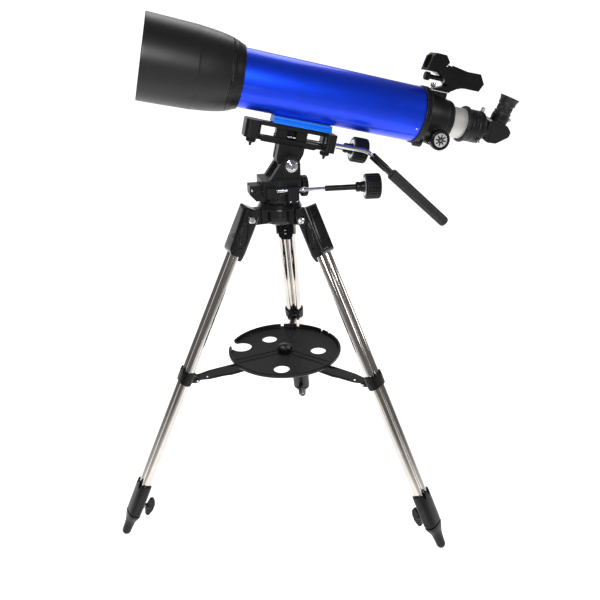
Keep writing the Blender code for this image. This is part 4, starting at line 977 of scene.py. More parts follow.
@dataclass
class Diagonal:
    """The mirror diagonal and its eyepiece."""

    lean: float = math.radians(8.0)
    roll: float = math.radians(8.0)
    centre: tuple[float, float, float] = (0.4100, 0.0, 0.0)
    body: str = "star_diagonal"

    def build(self, bench: Bench, frames: Frames) -> None:
        """Builds the diagonal, its screw and the eyepiece."""
        rolled = frames.tube() @ Matrix.Rotation(self.roll, 4, "X")
        holder = rolled @ Matrix.Translation(self.centre) @ Matrix.Rotation(self.lean, 4, "Y")
        self.housing(bench, rolled)
        self.eyepiece(bench, holder)

    def housing(self, bench: Bench, rolled: Matrix) -> None:
        """Nose barrel, prism box with side plates, and eyepiece holder.

        Args:
            bench: makes the pieces and hangs them on their bodies.
            rolled: the frame of the diagonal, rolled with it.
        """
        nose = Form.turned([(0, 0.3560), (0.0158, 0.3560), (0.0158, 0.3775), (0.0185, 0.3780),
                            (0.0196, 0.3800), (0.0200, 0.3900), (0, 0.3900)], Axis.X, 80, 0.0005)
        box = [(0.3860, 0.0190), (0.3900, 0.0225), (0.4270, 0.0170), (0.4390, 0.0060), (0.4385, -0.0040),
               (0.4150, -0.0215), (0.3960, -0.0225), (0.3860, -0.0190)]
        plate = [(0.3935, 0.0150), (0.4240, 0.0120), (0.4335, 0.0035), (0.4330, -0.0025), (0.4125, -0.0175),
                 (0.3970, -0.0180)]
        tilted = {"at": self.centre, "turn": (0, self.lean, 0)}
        joins = [Form.drawn(eased(box, 0.003, True), -0.0185, 0.0185, Axis.Y),
                 Form.drawn(eased(plate, 0.002, True), -0.0193, 0.0193, Axis.Y),
                 Form.turned([(0, 0), (0.0180, 0), (0.0180, 0.0240), (0.0186, 0.0245), (0.0186, 0.0335),
                              (0.0178, 0.0340), (0, 0.0340)], steps=80, ease=0.0004).moved(**tilted)]
        up = Vector((math.sin(self.lean), 0, math.cos(self.lean))) * 0.0290
        cuts = [Form.bar(0.0162, 0.0120, 0.0600, steps=64).moved(**tilted),
                Form.bar(0.0130, 0.3, 0.4180, Axis.X, 64),
                Form.bar(0.0024, 0.0, 0.03, Axis.X, 24).moved(Vector(self.centre) + up, (0, self.lean, 0))]
        bench.piece("diagonal_housing", nose, Look.GLOSS_CASTING, self.body, rolled, ["star_diagonal"],
                    joins, cuts, 0.0006)

    def eyepiece(self, bench: Bench, holder: Matrix) -> None:
        """The eyepiece, its eye lens and the holder's set screw.

        Args:
            bench: makes the pieces and hangs them on their bodies.
            holder: the frame on the eyepiece's axis.
        """
        barrel = Form.turned([
            (0, 0.0130), (0.0158, 0.0130), (0.0158, 0.0345), (0.0170, 0.0347), (0.0172, 0.0360),
                              (0.0172, 0.0398),
            (0.0165, 0.0410), (0.0152, 0.0416), (0.0150, 0.0425), (0.0150, 0.0525), (0.0158, 0.0540),
                              (0.0172, 0.0546),
            (0.0174, 0.0560), (0.0172, 0.0600), *smoothed([(0.0173, 0.0612), (0.0184, 0.0650),
                                                           (0.0199, 0.0688)], 4),
            (0.0198, 0.0700), (0.0188, 0.0700), (0.0172, 0.0672), (0.0150, 0.0652), (0.0098, 0.0650),
                              (0.0090, 0.0640),
            (0, 0.0640)], steps=112, ease=0.0004)
        bench.piece("eyepiece_barrel", barrel, Look.RUBBER, "eyepiece", holder, ["eyepiece"])
        grip = Form.turned([(0.0151, 0.0432), (0.0158, 0.0434), (0.0158, 0.0516), (0.0151, 0.0518)],
                           steps=144, ease=0.0002, relief=Ribs(36, 0.0004, 0.0157))
        bench.piece("eyepiece_grip_ring", grip, Look.SATIN_PAINT, "eyepiece", holder)
        lens = Form.turned([(0, 0.0641), (0.0084, 0.0641), (0.0086, 0.0646), (0.0050, 0.0655), (0, 0.0658)],
                           steps=48, ease=0.0002)
        bench.piece("eyepiece_glass", lens, Look.LENS_GLASS, "eyepiece", holder)
        place = holder @ Matrix.Translation((0, 0, 0.0290))
        bench.piece("holder_thumbscrew", thumbscrew(0.0164, 0.0188, 0.0245, 0.0038, Axis.X), Look.CHROME,
                    "eyepiece_set_screw", place, ["eyepiece_set_screw"])


@dataclass
class Finder:
    """The red-dot finder on its slanted stem."""

    half_width: float = 0.0125
    shoe_screw: tuple[float, float] = (0.2548, -0.0009)
    knob_at: tuple[float, float] = (0.2555, 0.0735)
    body: str = "optical_tube"

    def build(self, bench: Bench, frames: Frames) -> None:
        """Builds the finder's body, window, knobs and battery cap.

        Args:
            bench: makes the pieces and hangs them on their bodies.
            frames: the frames of the sub-assemblies.
        """
        tube = frames.tube()
        w = self.half_width
        side = [(0.2475, 0.0512), (0.2855, 0.0512), (0.3070, 0.0640), (0.3180, 0.0655), (0.3260, 0.0655),
                (0.3470, 0.0655), (0.3540, 0.0810), (0.3420, 0.0975), (0.3130, 0.0965), (0.2680, 0.1030),
                (0.2480, 0.0960), (0.2440, 0.0850), (0.2620, 0.0790), (0.2790, 0.0640)]
        hood = [(0.2290, 0.0830), (0.2480, 0.0830), (0.2640, 0.0960), (0.2700, 0.1050), (0.2600, 0.1165),
                (0.2400, 0.1168), (0.2330, 0.1095)]
        pane = [(-0.0080, 0.0875), (0.0080, 0.0875), (0.0135, 0.0990), (0.0090, 0.1120), (-0.0090, 0.1120),
                (-0.0135, 0.0990)]
        cheek = [(0.2800, 0.0790), (0.3230, 0.0720), (0.3400, 0.0740), (0.3450, 0.0820), (0.3380, 0.0900),
                 (0.3000, 0.0920), (0.2840, 0.0890)]
        joins = [Form.drawn(hood, -0.0170, 0.0170, Axis.Y),
                 Form.drawn(eased(cheek, 0.002, True), -w - 0.0010, w + 0.0010, Axis.Y),
                 Form.bar(0.0062, -w - 0.0022, w + 0.0022, Axis.Y, 40).moved((0.3330, 0, 0.0820)),
                 Form.bar(0.0046, -0.0124, 0.0180, Axis.X, 32).moved((self.knob_at[0], 0, self.knob_at[1]))]
        cuts = [Form.drawn(pane, 0.2200, 0.2800, Axis.X),
                Form.drawn([(0.2600, 0.0920), (0.2600, 0.1400), (0.3250, 0.1400), (0.3250, 0.0920)], -0.0075,
                           0.0075, Axis.Y),
                *(Form.block((0.2300, y0, 0.0530), (0.3300, y1, 0.0620)) for y0,
                  y1 in ((-0.02, -0.008), (0.008, 0.02))),
                Form.bar(0.0024, 0.0450, 0.0700, steps=24).moved((self.shoe_screw[0], 0, 0)),
                Form.bar(0.0024, -0.03, 0.0200, Axis.X, 24).moved((self.knob_at[0], 0, self.knob_at[1])),
                *(Form.block((at, -0.03, 0.0640), (at + 0.0012, -w + 0.0003, 0.0780)) for at in (0.322,
                                                                                                 0.3255))]
        bench.piece("finder_housing", Form.drawn(side, -w, w, Axis.Y), Look.GLOSS_PLASTIC, self.body, tube,
                    ["finder_body"], joins, cuts, 0.0005)
        lens = [(y * 0.965, 0.0998 + (z - 0.0998) * 0.965) for y, z in pane]
        bench.piece("finder_pane", Form.drawn(lens, 0.2420, 0.2440, Axis.X), Look.GOLD_GLASS, self.body,
                    tube, ["finder_lens"], edge=0.0002)
        place = tube @ Matrix.Translation((self.shoe_screw[0], 0, self.shoe_screw[1]))
        bench.piece("finder_thumbscrew", thumbscrew(0.0526, 0.0567, 0.0650, 0.0050), Look.CHROME,
                    "finder_screw", place, ["finder_screw"])
        place = tube @ Matrix.Translation((self.knob_at[0], 0, self.knob_at[1]))
        knob = Form.turned([(0, -0.0232), (0.0066, -0.0232), (0.0078, -0.0222), (0.0078, -0.0135),
                            (0.0068, -0.0130),
                            (0.0021, -0.0130), (0.0021, 0.0185), (0, 0.0185)], Axis.X, 120, 0.0004,
                           Ribs(20, 0.0006, 0.0076))
        bench.piece("finder_dimmer_knob", knob, Look.PLASTIC, "finder_knob", place, ["finder_knob"])


@dataclass
class Control:
    """A slow-motion control: sleeve, hub and fluted grip along X."""

    node: str
    body: str
    start: float
    knob_at: float
    radius: float = 0.0245
    length: float = 0.0300

    def build(self, bench: Bench, place: Matrix) -> None:
        """Builds the sleeve and its grip as one piece, with a face plate and a clamp ring.

        Args:
            bench: makes the pieces and hangs them on their bodies.
            place: the frame that the pieces are built in.
        """
        s, k, half = self.start, self.knob_at, self.length / 2
        stem = Form.turned([(0, s), (0.0050, s), (0.0055, s + 0.003), (0.0055, k - 0.0330),
                            (0.0092, k - 0.0310),
                            (0.0100, k - 0.0260), (0.0092, k - 0.0250), (0.0092, k - 0.0220),
                            (0.0102, k - 0.0210),
                            (0.0105, k - 0.0150), (0.0150, k - 0.0130), (0, k - 0.0130)], Axis.X, 64, 0.0006)
        r = self.radius
        grip = Form.turned([(0, k - half), (r - 0.0030, k - half), (r - 0.0008, k - half + 0.0010),
                            (r, k - half + 0.0030),
                            (r, k + half - 0.0030), (r - 0.0008, k + half - 0.0010), (r - 0.0030, k + half),
                            (r - 0.0060, k + half - 0.0012), (0, k + half - 0.0012)], Axis.X, 288, 0.0008,
                           Ribs(24, 0.0016, r * 0.955))
        bench.piece(f"{self.node}_grip", stem, Look.PLASTIC, self.body, place, [self.node], [grip])
        face = Form.turned([(0.0112, k - half - 0.0004), (r * 0.74, k - half - 0.0004),
                            (r * 0.74, k - half + 0.0004), (0.0112, k - half + 0.0004)], Axis.X, 96, 0.0002)
        bench.piece(f"{self.node}_washer", face, Look.SILVER, self.body, place)


@dataclass
class Mount:
    """The altitude cradle, the yoke, their worms, bolts, screws and handle."""

    alt_x: float = 0.0185
    alt_z: float = 0.757
    ledge: float = 0.7305
    base: float = 0.6845
    base_radius: float = 0.037
    cheek: tuple[float, float] = (0.0205, 0.034)
    boss: float = 0.018
    wheel: float = 0.030
    worm: float = 0.0055
    shaft: float = 0.0033
    worm_y: float = 0.007
    worm_b: float = 0.0465
    gap: float = 0.0003

    def build(self, bench: Bench, frames: Frames) -> None:
        """Builds the whole mount.

        Args:
            bench: makes the pieces and hangs them on their bodies.
            frames: the frames of the sub-assemblies.
        """
        ground, tilt, worm = frames.ground(), frames.tilt(), frames.azimuth_worm()
        self.yoke(bench, ground, ground.inverted() @ worm)
        self.azimuth_worm(bench, worm)
        self.bolt(bench, ground)
        self.lock(bench, ground)
        self.cradle(bench, tilt)
        self.sector(bench, tilt)
        self.altitude_worm(bench, tilt @ Matrix.Translation((0, self.worm_y, self.worm_b)))
        self.cradle_screws(bench, tilt)
        self.handle(bench, tilt)
        Control("azimuth_control_knob", "azimuth_control", 0.0855, 0.1775).build(bench, worm)
        Control("altitude_control_knob", "altitude_control", 0.0905, 0.1386).build(
            bench, tilt @ Matrix.Translation((0, self.worm_y, self.worm_b)))

    def yoke(self, bench: Bench, ground: Matrix, worm: Matrix) -> None:
        """The cast yoke: round base, deck, two cheeks with bosses, blocks.

        Args:
            bench: makes the pieces and hangs them on their bodies.
            ground: the frame on the floor under the azimuth axis.
            worm: the frame on the azimuth worm.
        """
        x, z, ledge, r = self.alt_x, self.alt_z, self.ledge, self.base_radius
        drum = Form.turned([(0, self.base), (r - 0.001, self.base), (r, self.base + 0.0012),
                            (r, self.base + 0.0050),
                            (r - 0.0008, self.base + 0.0056), (r - 0.0008, 0.7020), (r, 0.7030),
                            (r, ledge - 0.003), (0, ledge - 0.003)], steps=128, ease=0.0006)
        deck = eased([(-0.0385, -0.0365), (0.0370, -0.0365), (0.0370, 0.0365), (-0.0385, 0.0365)], 0.006,
                     True, 6)
        joins = [Form.drawn(deck, 0.703, ledge)]
        cuts = []
        left, right = x - 0.0415, x + self.boss
        for side in (-1, 1):
            inner, outer = side * self.cheek[0], side * self.cheek[1]
            outline = arc(x, z, self.boss, 0, 137, 28) + [(left, ledge), (left, ledge - 0.006),
                                                          (right, ledge - 0.006)]
            joins.append(Form.drawn(outline, *sorted((inner, outer)), Axis.Y))
            joins.append(Form.bar(0.0145, *sorted((outer - side * 0.002, outer + side * 0.0015)), Axis.Y,
                                  64).moved((x, 0, z)))
            web = [(x - 0.0335, ledge + 0.0030), (x - 0.0215, z - 0.008), (x - 0.0165, z - 0.008),
                   (x - 0.0165, ledge + 0.0030)]
            cuts.append(Form.drawn(eased(web, 0.002, True), *sorted((outer - side * 0.0035,
                                                                     outer + side * 0.01)), Axis.Y))
            panel = [(x - 0.0135, ledge + 0.0030), (x - 0.0135, z - 0.0165), (x + 0.0135, z - 0.0165),
                     (x + 0.0145, ledge + 0.0030)]
            cuts.append(Form.drawn(eased(panel, 0.0015, True),
                                   *sorted((outer - side * 0.0012, outer + side * 0.01)), Axis.Y))
            ring = [(0.0128, outer + side * 0.0006), (0.0134, outer + side * 0.0006),
                    (0.0134, outer + side * 0.01), (0.0128, outer + side * 0.01)]
            cuts.append(Form.turned(ring, Axis.Y, 64, 0.0).moved((x, 0, z)))
        joins.append(Form.drawn([(-0.0610, 0.7205), (-0.0300, 0.7205), (-0.0300, 0.6900), (-0.0490, 0.6900),
                                 (-0.0610, 0.7030)], -0.0230, 0.0120, Axis.Y))
        joins.append(Form.block((-0.0320, -0.0455, 0.6980), (-0.0125, -0.0300, 0.7185)))
        joins.append(Form.block((0.0085, -0.0490, 0.6870), (0.0300, -0.0300, 0.7185)))
        cuts += [
            Form.turned([(0, 0.60), (0.0140, 0.60), (0.0140, self.base - 0.001),
                         (self.wheel + 0.001, self.base - 0.001),
                         (self.wheel + 0.001, 0.7145), (0.0135, 0.7145), (0.0135, 0.7210), (0, 0.7210)],
                        steps=80, ease=0.0),
            Form.bar(self.worm + 0.0007, -0.0120, 0.0078, Axis.X).put(worm),
            Form.bar(self.shaft + self.gap, -0.07, 0.07, Axis.X).put(worm),
            Form.bar(0.0053, -0.08, 0.08, Axis.Y).moved((x, 0, z)),
            Form.bar(0.0038, 0.028, 0.06, Axis.X).moved((0, 0.004, 0.7080)),
            Form.block((-0.0700, -0.0060, 0.7000), (-0.0580, -0.0030, 0.7300)),
        ]
        bench.piece("yoke_casting", drum, Look.SATIN_PAINT, "azimuth_mount", ground, ["azimuth_yoke"], joins,
                    cuts, 0.0007)
        bench.screw("block_screw", Look.CHROME, "azimuth_mount", ground, (-0.0565, -0.0230, 0.7120),
                    (math.pi / 2, 0, 0), 0.0026, 0.0016)
        bench.screw("bearing_screw_1", Look.CHROME, "azimuth_mount", ground, (0.0128, -0.0490, 0.6910),
                    (math.pi / 2, 0, 0), 0.0020, 0.0013)
        bench.screw("bearing_screw_2", Look.CHROME, "azimuth_mount", ground, (0.0257, -0.0490, 0.6910),
                    (math.pi / 2, 0, 0), 0.0020, 0.0013)

    def azimuth_worm(self, bench: Bench, worm: Matrix) -> None:
        """The azimuth worm with its shaft and coupling.

        Args:
            bench: makes the pieces and hangs them on their bodies.
            worm: the frame on the azimuth worm.
        """
        thread = Thread(0.0030, 0.0014, -0.0110, 0.0070)
        s = self.shaft
        profile = ([(0, -0.0260), (s, -0.0260), (s, -0.0112),
                    (self.worm - 0.0014, -0.0111)] + thread.profile(self.worm) +
                   [(self.worm - 0.0014, 0.0071), (s, 0.0072), (s, 0.0412), (0.0046, 0.0414),
                    (0.0048, 0.0418),
                    (0.0048, 0.0474), (0.0046, 0.0478), (0.0036, 0.0480), (0.0036, 0.0850), (0, 0.0850)])
        bench.piece("azimuth_worm_shaft", Form.turned(profile, Axis.X, 48, 0.0, thread), Look.CHROME,
                    "azimuth_control", worm, ["azimuth_worm"])

    def altitude_worm(self, bench: Bench, place: Matrix) -> None:
        """The altitude worm with its shaft and coupling.

        Args:
            bench: makes the pieces and hangs them on their bodies.
            place: the frame that the pieces are built in.
        """
        thread = Thread(0.0030, 0.0014, -0.0100, 0.0055)
        s = self.shaft
        profile = ([(0, -0.0360), (s, -0.0360), (s, -0.0105),
                    (self.worm - 0.0014, -0.0102)] + thread.profile(self.worm) +
                   [(self.worm - 0.0014, 0.0058), (s, 0.0060), (s, 0.0810), (0.0045, 0.0815),
                    (0.0045, 0.0900), (0, 0.0900)])
        bench.piece("altitude_worm_shaft", Form.turned(profile, Axis.X, 48, 0.0, thread), Look.CHROME,
                    "altitude_control", place, ["altitude_worm"])

    def bolt(self, bench: Bench, ground: Matrix) -> None:
        """The altitude bolt with its knurled nut, washers and socket.

        Args:
            bench: makes the pieces and hangs them on their bodies.
            ground: the frame on the floor under the azimuth axis.
        """
        place = ground @ Matrix.Translation((self.alt_x, 0, self.alt_z))
        bar = Form.turned([
            (0, -0.0500), (0.0056, -0.0500), (0.0068, -0.0494), (0.0070, -0.0485), (0.0070, -0.0433),
                           (0.0074, -0.0430),
            (0.0098, -0.0428), (0.0100, -0.0420), (0.0100, -0.0409), (0.0116, -0.0406), (0.0118, -0.0400),
            (0.0118, -0.0364), (0.0114, -0.0360), (0.0050, -0.0360), (0.0050, 0.0360), (0.0095, 0.0362),
            (0.0095, 0.0410), (0.0080, 0.0425), (0, 0.0430)], Axis.Y, 144, 0.0003, Ribs(36, 0.0005, 0.0117))
        socket = Form.drawn(arc(0, 0, 0.0036, 0, 300, 5), -0.0600, -0.0462, Axis.Y)
        ring = Form.turned([(0.0046, -0.06), (0.0052, -0.06), (0.0052, -0.0492), (0.0046, -0.0492)], Axis.Y,
                           48, 0.0)
        bench.piece("altitude_nut_and_bolt", bar, Look.CHROME, "azimuth_mount", place, ["altitude_bolt"],
                    cuts=[socket, ring])

    def lock(self, bench: Bench, ground: Matrix) -> None:
        """The azimuth lock knob.

        Args:
            bench: makes the pieces and hangs them on their bodies.
            ground: the frame on the floor under the azimuth axis.
        """
        place = ground @ Matrix.Translation((0.0, 0.004, 0.7080))
        stem = Form.turned([(0, 0.0315), (0.0034, 0.0315), (0.0034, 0.0385), (0.0110, 0.0390),
                            (0.0130, 0.0430), (0.0150, 0.0450), (0, 0.0450)], Axis.X, 64, 0.0006)
        rim = Form.turned([(0, 0.0440), (0.0190, 0.0440), (0.0210, 0.0458), (0.0210, 0.0552),
                           (0.0190, 0.0570),
                           (0.0120, 0.0566), (0.0110, 0.0556), (0, 0.0556)], Axis.X, 192, 0.0008,
                          Ribs(16, 0.0018, 0.0195))
        bench.piece("azimuth_lock_grip", stem, Look.PLASTIC, "azimuth_lock_knob", place,
                    ["azimuth_lock_knob"], [rim])

    def cradle(self, bench: Bench, tilt: Matrix) -> None:
        """The cast cradle: windowed frame, end blocks, bearings and neck.

        Args:
            bench: makes the pieces and hangs them on their bodies.
            tilt: the frame at the altitude axis.
        """
        a0, a1, top, low = -0.0955, 0.0800, 0.0689, 0.0319
        side = [(a0, top), (a0, 0.0370), (-0.0670, 0.0370), (-0.0600, low), (0.0440, low), (0.0500, 0.0350),
                (a1, 0.0350), (a1, top)]
        nose = eased([(a0, -0.0240), (-0.0655, -0.0240), (-0.0655, 0.0200), (a0, 0.0200)], 0.010, True, 8)
        tail = eased([(0.0600, -0.0300), (a1, -0.0300), (a1, 0.0200), (0.0600, 0.0200)], 0.005, True, 8)
        neck = ([(-0.0270, low + 0.002), (-0.0270, 0.0040)] + arc(0, 0, 0.0200, 200, 322, 24) +
                [(0.0175, 0.0060), (0.0230, 0.0220), (0.0230, low + 0.002)])
        joins = [Form.drawn(nose, 0.0360, top), Form.drawn(tail, 0.0345, top),
                 Form.drawn(eased([(-0.0955, -0.0246), (-0.0650, -0.0246), (-0.0650, 0.0206),
                                   (-0.0955, 0.0206)],
                                  0.010, True, 8), 0.0358, 0.0425),
                 Form.block((-0.0330, -0.0010, 0.0404), (-0.0115, 0.0145, 0.0629)),
                 Form.block((0.0070, -0.0010, 0.0404), (0.0285, 0.0145, 0.0629)),
                 Form.block((-0.0300, 0.0130, 0.0404), (0.0250, 0.0145, 0.0629)),
                 Form.drawn(neck, -0.0198, 0.0198, Axis.Y)]
        y, b = self.worm_y, self.worm_b
        cuts = [Form.bar(0.0412, y - 0.0047, y + 0.0047, Axis.Y, 128, 0.0),
                Form.bar(0.0053, -0.05, 0.05, Axis.Y), Form.bar(0.0062, -0.0115, 0.0070,
                                                                Axis.X).moved((0, y, b)),
                Form.bar(0.0036, -0.0380, 0.12, Axis.X).moved((0, y, b)),
                Form.bar(0.0048, 0.0680, 0.12, Axis.X).moved((0, -0.0215, 0.0505)),
                Form.bar(0.0032, 0.0, 0.0600).moved((-0.0805, -0.012, 0)),
                Form.bar(0.0032, 0.0, 0.0600).moved((0.0665, -0.008, 0)),
                Form.block((-0.0540, -0.012, 0.0335), (0.0400, -0.0083, 0.0345)),
                Form.block((-0.0200, -0.0220, 0.0060), (-0.0050, -0.0190, 0.0290))]
        window = Form.drawn(side, -0.009, 0.015, Axis.Y)
        opening = Form.block((-0.0650, -0.05, 0.0424), (0.0575, 0.05, 0.0609))
        bench.piece("cradle_casting", bench.common(window, opening, "DIFFERENCE"), Look.SATIN_PAINT,
                    "cradle", tilt, ["cradle"], joins, cuts, 0.0006)

    def sector(self, bench: Bench, tilt: Matrix) -> None:
        """The toothed sector that the altitude worm runs along.

        Args:
            bench: makes the pieces and hangs them on their bodies.
            tilt: the frame at the altitude axis.
        """
        outline = []
        teeth = 12
        for i in range(teeth):
            for share, r in ((0.0, 0.0392), (0.3, 0.0404), (0.6, 0.0404), (0.9, 0.0392)):
                t = math.radians(68 + 44 * (i + share) / teeth)
                outline.append((r * math.cos(t), r * math.sin(t)))
        outline += arc(0, 0, 0.0150, 150, 390, 32)
        plate = Form.drawn(outline, self.worm_y - 0.0042, self.worm_y + 0.0042, Axis.Y)
        bench.piece("sector_plate", plate, Look.GLOSS_CASTING, "altitude_sector", tilt, ["altitude_sector"],
                    cuts=[Form.bar(0.0053, -0.05, 0.05, Axis.Y)], edge=0.0003)

    def cradle_screws(self, bench: Bench, tilt: Matrix) -> None:
        """The two pointed thumbscrews under the cradle's ends.

        Args:
            bench: makes the pieces and hangs them on their bodies.
            tilt: the frame at the altitude axis.
        """
        for number, (a, y, low) in enumerate(((-0.0805, -0.012, 0.0355), (0.0665, -0.008, 0.0340)), 1):
            form = Form.turned([
                (0, low - 0.0150), (0.0016, low - 0.0150), (0.0022, low - 0.0135), (0.0030, low - 0.0095),
                (0.0083, low - 0.0072), (0.0095, low - 0.0055), (0.0095, low - 0.0008),
                                (0.0090, low - 0.0004),
                (0.0029, low - 0.0003), (0.0029, 0.0590), (0, 0.0590)], steps=96, ease=0.0003,
                relief=Ribs(16, 0.0006, 0.0093))
            bench.piece(f"cradle_thumbscrew_{number}", form, Look.PLASTIC, f"cradle_screw_{number}",
                        tilt @ Matrix.Translation((a, y, 0)), [f"cradle_screw_{number}"])

    def handle(self, bench: Bench, tilt: Matrix) -> None:
        """The bent pan handle, its clamp collar and ribbed rubber grip.

        Args:
            bench: makes the pieces and hangs them on their bodies.
            tilt: the frame at the altitude axis.
        """
        points = [Vector((0.0690, -0.0215, 0.0505)), Vector((0.1380, -0.0235, 0.0512)),
                  Vector((0.1490, -0.0232, 0.0490)), Vector((0.1560, -0.0230, 0.0452)),
                  Vector((0.3530, -0.0170, -0.0640))]
        way = (points[4] - points[3]).normalized()
        line = [points[0], points[0].lerp(points[1], 0.9), *flowing(points[1:4], 8), points[3] + way * 0.02,
                points[3] + way * 0.090]
        bench.piece("pan_handle_bar", Form.swept(line, 0.0042, 40), Look.CHROME, "cradle", tilt,
                    ["pan_handle_rod"])
        grip_at = points[3] + way * 0.058
        spin = Vector((1, 0, 0)).rotation_difference(way).to_matrix().to_4x4()
        length = (points[4] - grip_at).length
        place = tilt @ Matrix.Translation(grip_at) @ spin
        grip = Form.turned([(0, 0), (0.0084, 0), (0.0104, 0.0010), (0.0110, 0.0030),
                            (0.0110, length - 0.0040),
                            (0.0100, length - 0.0010), (0.0080, length), (0, length)], Axis.X, 180, 0.0008,
                           Ribs(12, 0.0012, 0.0107))
        bench.piece("pan_handle_sleeve", grip, Look.RUBBER, "cradle", place, ["pan_handle_grip"],
                    cuts=[Form.bar(0.0045, -0.01, 0.0325, Axis.X, 40)])
        collar = Form.turned([(0.0044, -0.0560), (0.0072, -0.0556), (0.0076, -0.0540), (0.0076, -0.0150),
                              (0.0068, -0.0140), (0.0068, -0.0025), (0.0044, -0.0020)], Axis.X, 64, 0.0006)
        bench.piece("pan_handle_collar", collar, Look.GLOSS_PLASTIC, "cradle", place)


